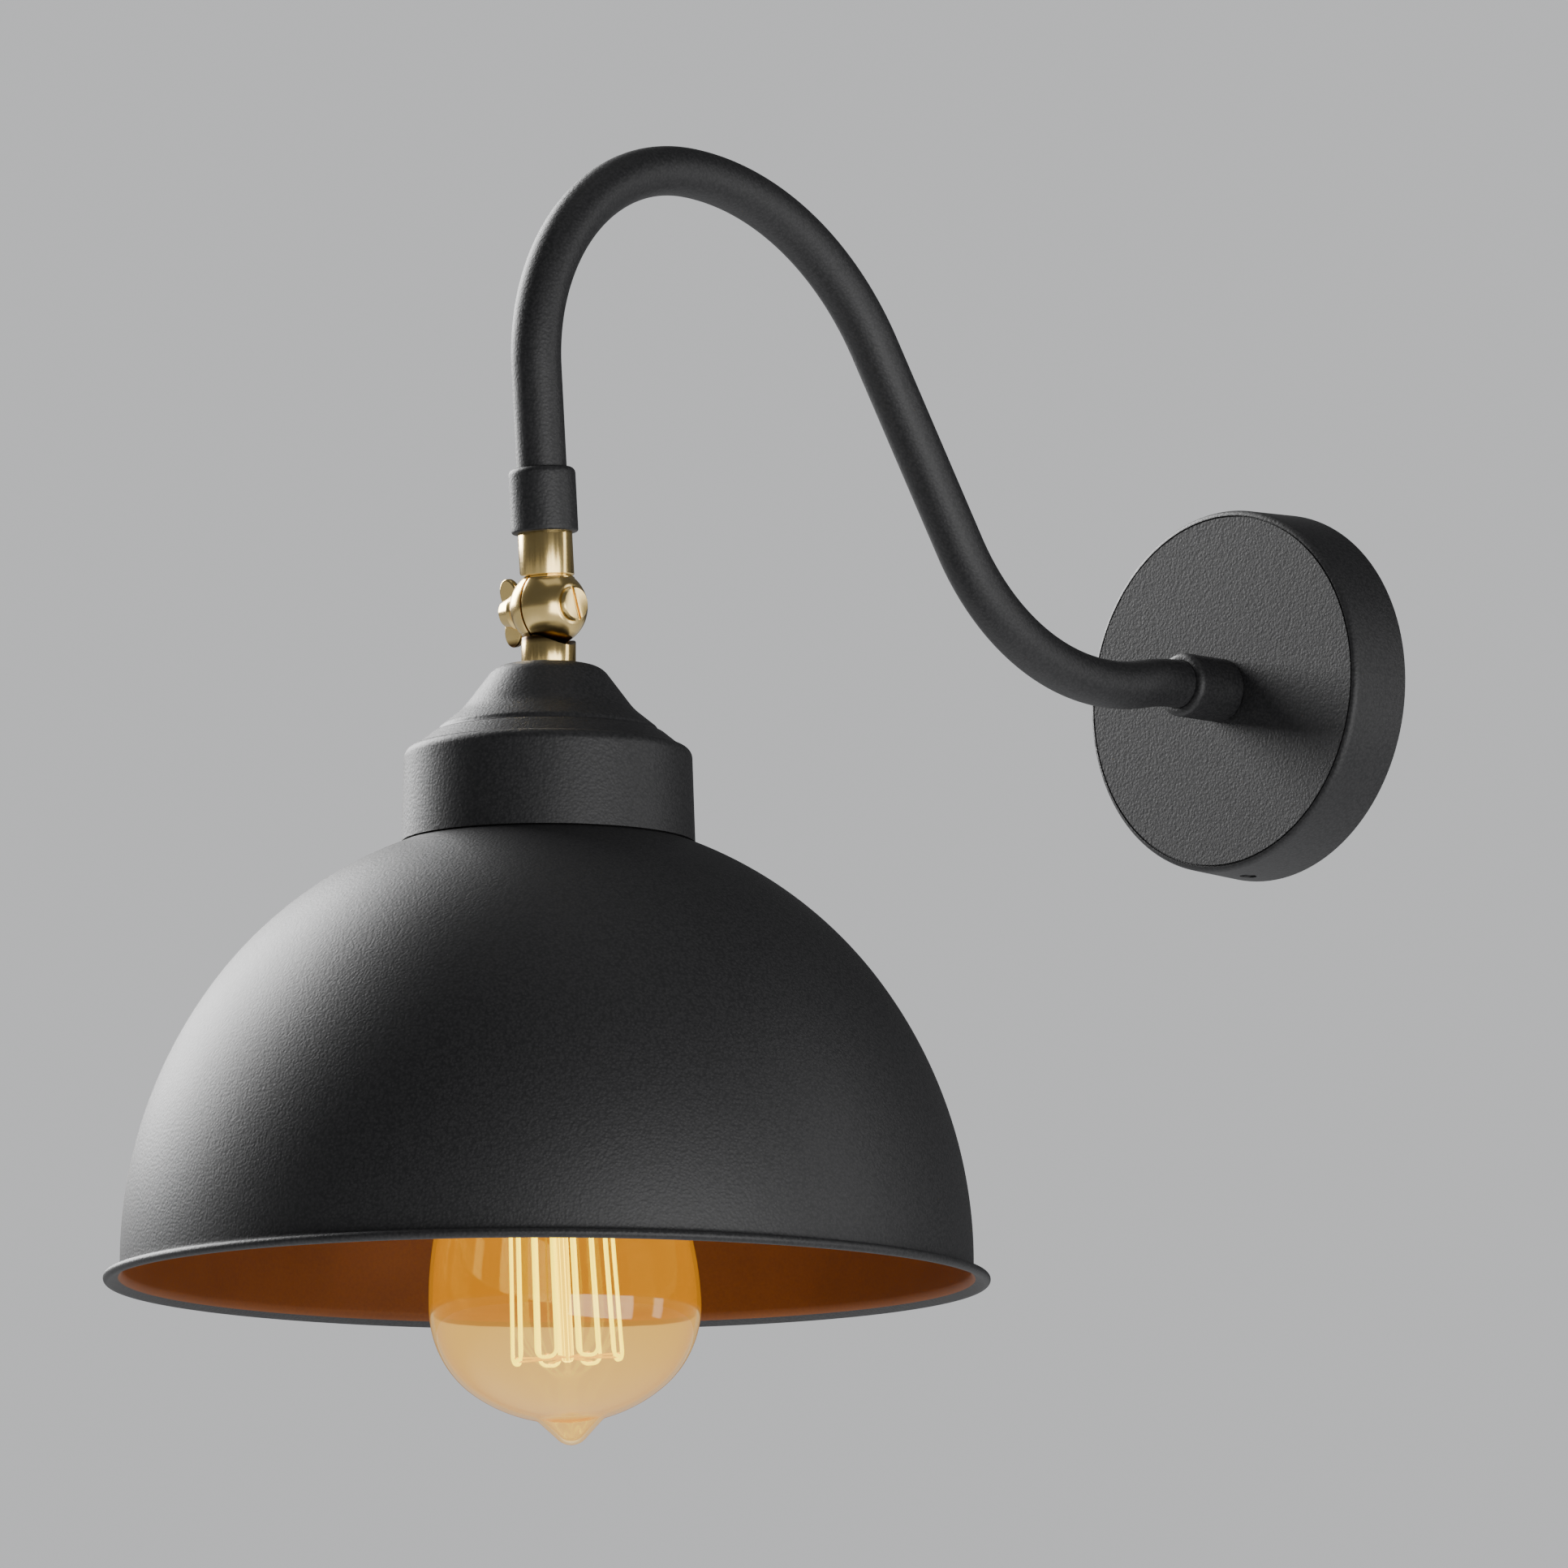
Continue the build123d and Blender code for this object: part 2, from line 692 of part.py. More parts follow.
# ------------------------------------------------------------------------------ dome shade
# Its middle surface is a flat seat, a small bend, then two tangent arcs: crown and side.
crown_line = crown_radius - shade_wall / 2
side_line = side_radius - shade_wall / 2
crown_centre_r = shade_radius - side_radius
crown_centre_r += (side_radius - crown_radius) * cos(radians(side_turn))
bend_offset = seat_radius - crown_centre_r
bend_drop = sqrt((crown_line - seat_bend) ** 2 - bend_offset**2)
crown_centre_z = seat_z - seat_bend - bend_drop
bend_turn = degrees(atan2(bend_offset, bend_drop))
crown_turn = 90 - bend_turn - side_turn
roll_line = roll_radius - shade_wall / 2
hole_radius = holder_radius + slip_gap

seat = Line((hole_radius, seat_z), (seat_radius, seat_z))
bend = JernArc(seat @ 1, seat % 1, seat_bend, -bend_turn)
crown = JernArc(bend @ 1, bend % 1, crown_line, -crown_turn)
flank = JernArc(crown @ 1, crown % 1, side_line, -side_turn)
skirt = Line(flank @ 1, flank @ 1 - Vector(0, shade_skirt))
roll = JernArc(skirt @ 1, skirt % 1, roll_line, roll_turn)
shade_line = Wire([seat, bend, crown, flank, skirt, roll])
parts["dome_shade"] = hang(turned(trace(shade_line, shade_wall)))
rim_radius = shade_radius - shade_wall / 2 + roll_line + roll_radius
print(f"rim diameter {2 * rim_radius:.1f}, rim centre height {(skirt @ 1).Y:.1f}")


def crown_height(radius):
    """Height of the shade's outer face at a radius on its crown."""
    return crown_centre_z + sqrt(crown_radius**2 - (radius - crown_centre_r) ** 2)


collar_middle = collar_top - collar_wall / 2
collar_line = FilletPolyline(
    (collar_hole_radius, collar_middle),
    (collar_top_radius - collar_wall / 2, collar_middle),
    (
        collar_foot_radius - collar_wall / 2,
        crown_height(collar_foot_radius - collar_wall) + slip_gap / 2,
    ),
    radius=collar_corner,
)
parts["collar"] = hang(turned(trace(collar_line, collar_wall)))

# ------------------------------------------------------------------------------ shade's clamp
parts["shade_nipple"] = hang(
    tube(
        lamp_thread_radius,
        lamp_bore_radius,
        holder_top - holder_neck_length,
        cap_top + lower_socket_depth - thread_end_gap,
    )
)
cap_underside = cap_top - cap_wall
parts["shade_washer"] = hang(lock_washer(cap_underside - lock_washer_height))
parts["shade_nut"] = hang(lock_nut(cap_underside - lock_washer_height - lock_nut_height))

ring_radius = seat_radius - ring_margin
seat_face = seat_z + shade_wall / 2
seat_back = seat_z - shade_wall / 2
parts["upper_shade_ring"] = hang(
    tube(ring_radius, hole_radius, seat_face, seat_face + upper_ring_height)
)
lower_ring = tube(ring_radius, hole_radius, seat_back - lower_ring_flange, seat_back)
lower_ring += tube(
    hole_radius + lower_ring_wall, hole_radius, seat_back - lower_ring_height, seat_back
)
parts["lower_shade_ring"] = hang(lower_ring)

# ------------------------------------------------------------------------------ lampholder
tapped_radius = lamp_thread_radius + thread_gap
spigot_radius = holder_radius - holder_wall - slip_gap
cavity_radius = spigot_radius - holder_wall
neck_foot = holder_top - holder_neck_length
holder_cap = turned_outline(
    (tapped_radius, holder_top),
    (holder_neck_radius, holder_top),
    (holder_neck_radius, neck_foot),
    (holder_radius, holder_top - holder_shoulder),
    (holder_radius, holder_cap_foot),
    (spigot_radius, holder_cap_foot),
    (spigot_radius, spigot_foot),
    (cavity_radius, spigot_foot),
    (cavity_radius, holder_top - holder_shoulder),
    (tapped_radius, neck_foot - holder_wall),
)
grub_z = holder_top - holder_neck_length / 2
grub_hole = Pos(0, 0, grub_z) * outward(
    rod(grub_radius + thread_gap, 0, 2 * holder_neck_radius)
)
parts["holder_cap"] = hang(holder_cap - grub_hole)
grub = slotted(
    rod(grub_radius, lamp_thread_radius + touch_gap, holder_neck_radius),
    grub_radius,
    holder_neck_radius,
)
parts["holder_grub_screw"] = hang(Pos(0, 0, grub_z) * outward(grub))

skirt_bore = holder_radius - holder_wall
lip_radius = skirt_bore - holder_lip
thread_top = seat_face + upper_ring_height + holder_thread_pitch / 2
skirt_outline = [(skirt_bore, holder_cap_foot), (holder_radius, holder_cap_foot)]
for ring_number in range(holder_thread_rings):
    crest_z = thread_top - ring_number * holder_thread_pitch
    skirt_outline.append((holder_radius, crest_z))
    skirt_outline.append((holder_radius - holder_thread_depth, crest_z - holder_thread_pitch / 2))
skirt_outline += [
    (holder_radius, thread_top - holder_thread_rings * holder_thread_pitch),
    (holder_radius, holder_mouth),
    (lip_radius, holder_mouth),
    (lip_radius, holder_mouth + holder_wall),
    (skirt_bore, holder_mouth + 2 * holder_wall),
    (skirt_bore, ledge_top - 2 * holder_wall),
    (ledge_radius, ledge_top - holder_wall),
    (ledge_radius, ledge_top),
    (skirt_bore, ledge_top),
]
parts["holder_skirt"] = hang(turned_outline(*skirt_outline))

insert = rod(spigot_radius, insert_top - insert_flange, insert_top)
insert += rod(ledge_radius - slip_gap, insert_foot, insert_top)
shell_rivet_place = shell_hole + shell_wall + rivet_radius
contact_rivet_place = shell_hole - 2 * rivet_radius
rivets = []
for place in (-shell_rivet_place, contact_rivet_place):
    rivets.append(hang(Pos(place, 0, 0) * rod(rivet_radius, insert_foot, insert_top)))
    insert -= Pos(place, 0, 0) * rod(
        rivet_radius + touch_gap, insert_foot - overcut, insert_top + overcut
    )
parts["holder_insert"] = hang(insert)
parts["holder_rivets"] = Compound(rivets)

shell_line = FilletPolyline(
    (shell_hole, insert_foot - shell_wall / 2),
    (shell_radius + shell_wall / 2, insert_foot - shell_wall / 2),
    (shell_radius + shell_wall / 2, holder_mouth + holder_lip),
    radius=2 * shell_wall,
)
parts["holder_shell"] = hang(turned(trace(shell_line, shell_wall)))

# The centre contact is a strip riveted under the insert, stepped down onto the lamp's button.
contact_high = insert_foot - contact_thickness / 2
contact_low = lamp_top + contact_thickness / 2
contact_line = FilletPolyline(
    (contact_rivet_place + rivet_radius, contact_high),
    (contact_rivet_place - rivet_radius, contact_high),
    (contact_rivet_place - 3 * rivet_radius, contact_low),
    (-lamp_button_radius / 2, contact_low),
    radius=contact_thickness,
)
contact_profile = Plane.XZ * trace(contact_line, contact_thickness)
parts["holder_contact"] = hang(extrude(contact_profile, contact_width / 2, both=True))

terminals = []
terminal_screws = []
terminal_top = insert_top + terminal_height
for side in (1, -1):
    place = Pos(side * terminal_place, 0, 0)
    terminal = Pos(0, 0, insert_top + terminal_height / 2) * Box(
        terminal_width, terminal_length, terminal_height
    )
    terminal -= Pos(0, terminal_screw_place, 0) * rod(
        terminal_screw_radius + thread_gap, terminal_top - terminal_screw_depth, terminal_top + overcut
    )
    terminal -= Pos(0, -terminal_wire_place, 0) * rod(
        core_radius + touch_gap, terminal_top - terminal_screw_depth, terminal_top + overcut
    )
    terminals.append(hang(place * terminal))
    screw = rod(terminal_screw_radius, terminal_top - terminal_screw_depth, terminal_top)
    screw += rod(terminal_head_radius, terminal_top, terminal_top + terminal_head_height)
    screw = slotted(screw, terminal_head_radius, terminal_top + terminal_head_height)
    terminal_screws.append(hang(place * Pos(0, terminal_screw_place, 0) * screw))
parts["holder_terminals"] = Compound(terminals)
parts["holder_terminal_screws"] = Compound(terminal_screws)

# ------------------------------------------------------------------------------ head wiring
cable_foot = neck_foot - holder_wall
parts["head_cable"] = hang(rod(cable_radius, cable_foot, pivot_z - cable_end))
head_cores = []
for side in (1, -1):
    core_line = (
        (side * core_side, 0, cable_foot),
        (side * core_side, 0, cable_foot - 2 * core_bend),
        (side * terminal_place, -terminal_wire_place, terminal_top + 2 * core_bend),
        (side * terminal_place, -terminal_wire_place, terminal_top - terminal_screw_depth),
    )
    head_cores.append(hang(bent_wire(core_line, core_radius, core_bend)))
parts["head_cores"] = Compound(head_cores)


# ------------------------------------------------------------------------------ lamp
def leaned(shape):
    """Lean a piece of the envelope about the mouth of its screw cap, towards +X and +Y."""
    return hang(shape).rotate(Axis((0, -reach, lamp_mouth), (1, -1, 0)), glass_lean)


crest = lamp_crest_radius - lamp_cap_wall / 2
root = lamp_root_radius - lamp_cap_wall / 2
cap_points = [
    (lamp_cap_opening, lamp_shoulder + lamp_cap_crown),
    (root, lamp_shoulder - lamp_cap_slope),
]
for half in range(2 * lamp_pitches):
    radius = root if half % 2 else crest
    cap_points.append((radius, lamp_shoulder - (half + 1) * lamp_pitch / 2))
skirt_top = lamp_shoulder - (lamp_pitches + 0.5) * lamp_pitch
cap_points += [(crest, skirt_top), (crest, lamp_mouth)]
lamp_cap_line = FilletPolyline(*cap_points, radius=lamp_thread_round)
parts["lamp_cap"] = hang(turned(trace(lamp_cap_line, lamp_cap_wall)))

insulator_radius = lamp_cap_opening - lamp_cap_wall
parts["lamp_insulator"] = hang(
    turned_outline(
        (0, lamp_shoulder - lamp_cap_slope),
        (insulator_radius, lamp_shoulder - lamp_cap_slope),
        (insulator_radius, lamp_shoulder + lamp_cap_crown),
        (lamp_button_radius, lamp_button),
        (0, lamp_button),
    )
)
button = rod(lamp_button_radius, lamp_button, lamp_top)
parts["lamp_contact"] = hang(
    chamfer(button.edges().filter_by(GeomType.CIRCLE).sort_by(Axis.Z)[-1], lamp_button_height / 2)
)

# The envelope's middle surface runs in tangent arcs from the neck to the sealed tip.
neck_line = glass_neck_radius - glass_wall / 2
wide_line = glass_radius - glass_wall / 2
flare_sin = sin(radians(glass_flare))
flare_cos = cos(radians(glass_flare))
flare_widening = (glass_neck_bend + glass_shoulder_bend) * (1 - flare_cos)
flare_run = (wide_line - neck_line - flare_widening) / flare_sin
side_inset = wide_line - glass_side_bend
bowl_bend = side_inset**2 + glass_bowl_height**2 - glass_side_bend**2
bowl_bend /= 2 * (glass_bowl_height - glass_side_bend)
bowl_side_turn = degrees(atan2(bowl_bend - glass_bowl_height, side_inset))
tip_heading = degrees(atan2(glass_tip_start, sqrt(bowl_bend**2 - glass_tip_start**2)))
slope_sin = sin(radians(glass_tip_slope))
slope_cos = cos(radians(glass_tip_slope))
tip_run = glass_tip_start - glass_tip_bend * slope_sin
tip_run -= glass_tip_hollow * (slope_sin - sin(radians(tip_heading)))
tip_run /= slope_cos

neck = Line(
    (neck_line, lamp_mouth + glass_neck_inset), (neck_line, lamp_mouth - glass_neck_proud)
)
widen = JernArc(neck @ 1, neck % 1, glass_neck_bend, glass_flare)
cone = Line(widen @ 1, widen @ 1 + (widen % 1) * flare_run)
shoulder = JernArc(cone @ 1, cone % 1, glass_shoulder_bend, -glass_flare)
belly = JernArc(shoulder @ 1, shoulder % 1, glass_side_bend, -bowl_side_turn)
bowl = JernArc(belly @ 1, belly % 1, bowl_bend, bowl_side_turn + tip_heading - 90)
hollow = JernArc(bowl @ 1, bowl % 1, glass_tip_hollow, glass_tip_slope - tip_heading)
taper = Line(hollow @ 1, hollow @ 1 + (hollow % 1) * tip_run)
tip = JernArc(taper @ 1, taper % 1, glass_tip_bend, -glass_tip_slope)
glass_line = Wire([neck, widen, cone, shoulder, belly, bowl, hollow, taper, tip])
glass_axis_waste = Pos(-glass_radius, lamp_mouth) * Rectangle(2 * glass_radius, 4 * filament_length)
parts["lamp_glass"] = leaned(turned(trace(glass_line, glass_wall) - glass_axis_waste))
print(f"lamp widest at {(shoulder @ 1).Y:.1f}, tip at {(tip @ 1).Y:.1f}, on axis {(tip @ 1).X:.4f}")

# Stem: a flare sealed to the neck, a pressed tube, and a thin rod down the middle of the cage.
stem_line = stem_radius - stem_wall / 2
flare_line = FilletPolyline(
    (neck_line - glass_wall, lamp_mouth + stem_flare_height),
    (stem_line, lamp_mouth - stem_flare_foot),
    (stem_line, stem_foot + stem_press / 2),
    radius=stem_flare_bend,
)
stem = turned(trace(flare_line, stem_wall)) + rod(stem_radius, stem_foot, stem_foot + stem_press)
stem += rod(stem_rod_radius, filament_foot - 2 * support_radius, stem_foot)
parts["lamp_stem"] = leaned(stem)

# Filament: one wire up and down the cage, its turns alternately at the foot and at the top.
strands = 2 * filament_hairpins
strand_step = filament_sweep / (strands - 1)
strand_angles = [i * strand_step - filament_sweep / 2 for i in range(strands)]


def around(radius, angle, height):
    """Point at a radius and angle about Z."""
    return (radius * cos(radians(angle)), radius * sin(radians(angle)), height)


filament_points = []
for index, angle in enumerate(strand_angles):
    strand = [
        around(filament_top_radius, angle, filament_top),
        around(filament_foot_radius, angle, filament_foot),
    ]
    filament_points += reversed(strand) if index % 2 else strand
parts["lamp_filament"] = leaned(bent_wire(filament_points, filament_radius, filament_bend))


def spoke(radius, angle, height):
    """Support wire from the rod out through one turn of the filament."""
    reach_out = radius * cos(radians(strand_step / 2)) + support_hook
    wire = rod(support_radius, stem_rod_radius + touch_gap, reach_out)
    return leaned(Pos(0, 0, height) * Rotation(0, 0, angle) * Rotation(0, 90, 0) * wire)


hook_rise = filament_radius + support_radius + touch_gap
supports = []
for index, angle in enumerate(strand_angles[:-1]):
    middle = angle + strand_step / 2
    if index % 2:
        supports.append(spoke(filament_top_radius, middle, filament_top - hook_rise))
    else:
        supports.append(spoke(filament_foot_radius, middle, filament_foot + hook_rise))
parts["lamp_supports"] = Compound(supports)

leads = []
for angle in (strand_angles[0], strand_angles[-1]):
    lead_route = (
        around(lead_spread, angle, stem_foot),
        around(lead_spread, angle, stem_foot - lead_drop),
        around(filament_top_radius, angle, filament_top + lead_radius + touch_gap),
    )
    leads.append(leaned(bent_wire(lead_route, lead_radius, lead_bend)))
parts["lamp_leads"] = Compound(leads)

# ------------------------------------------------------------------------------ write
os.makedirs("parts", exist_ok=True)
for name, shape in parts.items():
    export_step(shape, f"parts/{name}.step")
print(f"{len(parts)} pieces")
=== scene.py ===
# %% [markdown]
# # A gooseneck wall light, dressed for its portrait
# The frame holds every piece of the lamp at its real size, in metres, with the wall at Y = 0, the
# arm reaching along -Y and +Z up. This notebook keeps those pieces where they are, gives each one
# its finish, and swaps the large plain ones for finer surfaces worked out with numpy.

# %% Load the frame
import json
import math
import bmesh
import bpy
import numpy as np
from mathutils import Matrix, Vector


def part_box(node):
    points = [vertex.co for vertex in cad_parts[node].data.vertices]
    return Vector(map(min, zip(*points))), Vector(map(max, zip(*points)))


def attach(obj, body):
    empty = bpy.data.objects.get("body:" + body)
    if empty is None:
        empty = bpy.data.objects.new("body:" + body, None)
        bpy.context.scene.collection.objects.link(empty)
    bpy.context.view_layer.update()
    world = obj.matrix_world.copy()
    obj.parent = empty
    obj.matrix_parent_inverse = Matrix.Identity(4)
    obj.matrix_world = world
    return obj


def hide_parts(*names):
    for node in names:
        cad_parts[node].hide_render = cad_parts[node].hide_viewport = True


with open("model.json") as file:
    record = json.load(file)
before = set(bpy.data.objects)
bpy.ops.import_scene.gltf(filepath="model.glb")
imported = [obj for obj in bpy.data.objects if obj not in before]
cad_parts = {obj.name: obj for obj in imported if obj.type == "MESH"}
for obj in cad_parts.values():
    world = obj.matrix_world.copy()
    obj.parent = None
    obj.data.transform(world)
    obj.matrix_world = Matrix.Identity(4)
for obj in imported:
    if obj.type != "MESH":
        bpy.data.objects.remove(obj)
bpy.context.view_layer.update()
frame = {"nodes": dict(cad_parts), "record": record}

MM = 0.001
print("pieces in the frame:", len(frame["nodes"]))

# %% [markdown]
# ## Where things are
# A few heights and centres come straight from the frame's own boxes, so that the new surfaces sit
# exactly on the pieces that carry them.

# %% Places read from the frame, and objects put into the scene
def box(node):
    """Lowest and highest corner of a piece, as arrays in metres."""
    low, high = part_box(node)
    return np.array(low), np.array(high)


def in_scene(name, data):
    """New object that shows a mesh, a camera or a lamp."""
    thing = bpy.data.objects.new(name, data)
    bpy.context.scene.collection.objects.link(thing)
    return thing


shade_low, shade_high = box("dome_shade")
shade_y = (shade_low[1] + shade_high[1]) / 2
canopy_front = box("wall_canopy")[0][1]
pivot_low, pivot_high = box("friction_washer")
pivot = (pivot_low + pivot_high) / 2
lamp_mouth = box("lamp_cap")[0][2]
print("shade axis at y", round(shade_y, 4), "pivot", pivot.round(4))
print("canopy front at y", round(canopy_front, 4), "lamp mouth at z", round(lamp_mouth, 4))

# %% [markdown]
# ## Shader maths that reads like maths
# A shader is a graph of sockets. Wrapping one socket in a small class lets a finish be written as
# an expression, and one method makes every other kind of node.

# %% A socket with arithmetic, and a finish that owns its nodes
class Socket:
    """One output of a node. +, - and * on it add Math nodes, with numbers on either side."""

    def __init__(self, finish, output):
        self.finish = finish
        self.output = output

    def math(self, operation, first, second=None):
        return self.finish.math(operation, first, second)

    def __add__(self, other):
        return self.math("ADD", self, other)

    def __sub__(self, other):
        return self.math("SUBTRACT", self, other)

    def __rsub__(self, other):
        return self.math("SUBTRACT", other, self)

    def __mul__(self, other):
        return self.math("MULTIPLY", self, other)

    __radd__ = __add__
    __rmul__ = __mul__


class Finish:
    """A material, or the world, with its node tree and the few kinds of node that they share."""

    def __init__(self, name, owner=None):
        self.owner = owner or bpy.data.materials.new(name)
        self.owner.use_nodes = True
        self.tree = self.owner.node_tree
        nodes = self.tree.nodes
        self.shader = nodes.get("Principled BSDF") or nodes["Background"]

    def node(self, kind, settings=None, sockets=None, output=0):
        """Add a node: settings first, then each socket's value or link. Returns one output."""
        node = self.tree.nodes.new(kind)
        for key, value in (settings or {}).items():
            setattr(node, key, value)
        self.fill(node, sockets or {})
        return Socket(self, node.outputs[output])

    def fill(self, node, sockets):
        """Set or link sockets by name or number."""
        for key, value in sockets.items():
            if isinstance(value, Socket):
                self.tree.links.new(value.output, node.inputs[key])
            elif value is not None:
                node.inputs[key].default_value = value

    def math(self, operation, first, second=None):
        """One Math node."""
        return self.node("ShaderNodeMath", {"operation": operation}, {0: first, 1: second})

    def place(self, stretch=(1, 1, 1)):
        """Object coordinates, multiplied axis by axis."""
        where = self.node("ShaderNodeTexCoord", output="Object")
        return self.node("ShaderNodeVectorMath", {"operation": "MULTIPLY"}, {0: where, 1: stretch})

    def along(self, axis):
        """One object coordinate, X, Y or Z."""
        return self.node("ShaderNodeSeparateXYZ", {}, {0: self.place()}, axis)

    def noise(self, where, size, detail=3.0, rough=0.55):
        """Cloudy noise whose features are about size across, from 0 to 1."""
        sockets = {"Vector": where, "Scale": 1 / size, "Detail": detail, "Roughness": rough}
        return self.node("ShaderNodeTexNoise", {}, sockets)

    def cells(self, where, size):
        """Distance to the nearest of many scattered points about size apart."""
        sockets = {"Vector": where, "Scale": 1 / size}
        return self.node("ShaderNodeTexVoronoi", {"feature": "SMOOTH_F1"}, sockets)

    def clamp(self, value, low, high):
        """value taken from low..high to 0..1."""
        sockets = {"Value": value, "From Min": low, "From Max": high}
        return self.node("ShaderNodeMapRange", {"clamp": True}, sockets)

    def tint(self, factor, first, second):
        """Colour between two colours."""
        a, b = [(*c, 1.0) if isinstance(c, tuple) else c for c in (first, second)]
        sockets = {0: factor, 6: a, 7: b}
        return self.node("ShaderNodeMix", {"data_type": "RGBA"}, sockets, 2)

    def bump(self, height, depth, strength=1.0):
        """Normal of a surface that rises by depth where height is 1."""
        sockets = {"Strength": strength, "Distance": depth, "Height": height}
        return self.node("ShaderNodeBump", {}, sockets)

    def surface(self, **sockets):
        """Fill the shader, underscores standing for spaces, and return the material or world."""
        named = {key.replace("_", " "): value for key, value in sockets.items()}
        self.fill(self.shader, named)
        return self.owner


print("finish helpers ready")

# %% [markdown]
# ## The black powder coat
# The wall plate, arm, ferrules, cap, collar and shade carry one coat: black powder baked to a fine
# sandy skin, half a millimetre from bump to bump. It is nearly black, but its broad soft sheen
# makes it read as charcoal wherever the light grazes it, so the bump and the roughness matter more
# than the colour. Two sizes of noise and a scatter of rounded cells give the sand.

# %% Powder coat
def powder_coat():
    finish = Finish("powder coat")
    where = finish.place()
    sand = finish.noise(where, 0.55 * MM, 4.0, 0.6)
    grains = 1 - finish.clamp(finish.cells(where, 0.65 * MM), 0.1, 0.7)
    broad = finish.noise(where, 45 * MM, 2.0)
    height = sand * 0.5 + grains * 0.5
    peaks = finish.clamp(height, 0.3, 0.75)
    return finish.surface(
        Base_Color=finish.tint(peaks, (0.008, 0.008, 0.0088), (0.021, 0.0205, 0.0215)),
        Roughness=0.40 + 0.18 * sand + 0.06 * broad,
        Normal=finish.bump(height, 0.09 * MM, 0.85),
    )


coat = powder_coat()
print("made", coat.name)

# %% [markdown]
# ## The copper lining
# Inside, the shade is sprayed with a satin copper paint: metal flakes in a warm lacquer. It reads
# dark brown at the far edge and glows orange beside the lamp. Flakes a few tenths of a millimetre
# across vary the colour and the roughness a little.

# %% Copper lining
def copper_lining():
    finish = Finish("copper paint")
    where = finish.place()
    flakes = finish.noise(where, 0.7 * MM, 3.0, 0.6)
    clouds = finish.noise(where, 30 * MM, 2.0)
    shade = finish.clamp(flakes * 0.5 + clouds * 0.5, 0.3, 0.7)
    return finish.surface(
        Base_Color=finish.tint(shade, (0.15, 0.040, 0.005), (0.23, 0.068, 0.010)),
        Metallic=0.40,
        Roughness=0.44 + 0.2 * flakes,
        Normal=finish.bump(flakes, 0.04 * MM, 0.5),
    )


lining = copper_lining()
print("made", lining.name)

# %% [markdown]
# ## Turned and polished brass
# The knuckle is turned from solid brass and buffed. What shows it is the lathe: faint rings square
# to the turning axis. Noise squeezed along Z gives those rings on the upright necks, and a second
# set squeezed along X gives the ones round the ball and the screw. A band at the height of the gap
# under the ball is painted dark brown as shade in that gap.

# %% Brass
def turned_brass(name, colour, tarnished, rough, gap_height):
    finish = Finish(name)
    height = finish.along("Z")
    # painted shade: dark brown within 0.3 mm of the gap's height, fading out by 1.6 mm
    from_gap = finish.math("ABSOLUTE", height - gap_height)
    away_from_gap_shade = finish.clamp(from_gap, 0.3 * MM, 1.6 * MM)
    rings_up = finish.noise(finish.place((0.02, 0.02, 1)), 0.28 * MM, 2.0)
    rings_across = finish.noise(finish.place((1, 0.02, 0.02)), 0.3 * MM, 2.0)
    rings = rings_up * 0.6 + rings_across * 0.4
    clouds = finish.noise(finish.place(), 6 * MM, 3.0)
    buffed = finish.tint(finish.clamp(clouds, 0.35, 0.75), colour, tarnished)
    return finish.surface(
        Base_Color=finish.tint(away_from_gap_shade, (0.10, 0.055, 0.02), buffed),
        Metallic=1.0,
        Roughness=rough + 0.07 * rings + 0.05 * clouds,
        Normal=finish.bump(rings, 0.005 * MM, 0.5),
    )


gap_height = pivot[2] - 7.9 * MM  # where the upper half's ball ends, over the lower neck
no_gap = 1.0  # a metre up, where there is no brass at all
brass = turned_brass("knuckle brass", (0.95, 0.71, 0.30), (0.88, 0.63, 0.24), 0.15, gap_height)
contact_brass = turned_brass(
    "contact strip brass", (0.86, 0.66, 0.36), (0.62, 0.45, 0.22), 0.26, no_gap
)
lamp_brass = turned_brass("screw cap brass", (0.84, 0.66, 0.38), (0.58, 0.43, 0.22), 0.3, no_gap)
print("made", brass.name, contact_brass.name, lamp_brass.name)

# %% [markdown]
# ## The plain finishes
# Behind the scenes there is zinc-plated steel, enamel, porcelain, moulded plastic, rubber and
# fibre. One recipe serves them: a cloudy colour between two tones, a grain in the roughness, and a
# small bump of the size that the stuff really has.

# %% Zinc, enamel, porcelain, plastic, rubber, fibre
def plain_finish(name, tones, rough, grain, depth, metallic=0.0, coat_weight=0.0):
    finish = Finish(name)
    where = finish.place()
    clouds = finish.noise(where, 6 * MM, 3.0)
    fine = finish.noise(where, grain, 3.0)
    return finish.surface(
        Base_Color=finish.tint(finish.clamp(clouds, 0.35, 0.65), *tones),
        Metallic=metallic,
        Coat_Weight=coat_weight,
        Roughness=rough + 0.16 * fine,
        Normal=finish.bump(fine, depth, 0.6),
    )


zinc = plain_finish(
    "bright zinc", ((0.50, 0.51, 0.53), (0.64, 0.64, 0.63)), 0.26, 1.6 * MM, 0.03 * MM, 1.0
)
enamel = plain_finish(
    "black enamel", ((0.014, 0.014, 0.015), (0.024, 0.024, 0.026)), 0.22, 2 * MM, 0.02 * MM
)
porcelain = plain_finish(
    "glazed porcelain", ((0.78, 0.76, 0.70), (0.86, 0.85, 0.80)), 0.12, 3 * MM, 0.03 * MM, 0.0, 0.6
)
block_plastic = plain_finish(
    "moulded plastic", ((0.74, 0.74, 0.71), (0.82, 0.82, 0.80)), 0.34, 0.5 * MM, 0.02 * MM
)
black_glass = plain_finish(
    "black glass", ((0.01, 0.01, 0.014), (0.02, 0.018, 0.03)), 0.05, 2 * MM, 0.02 * MM
)
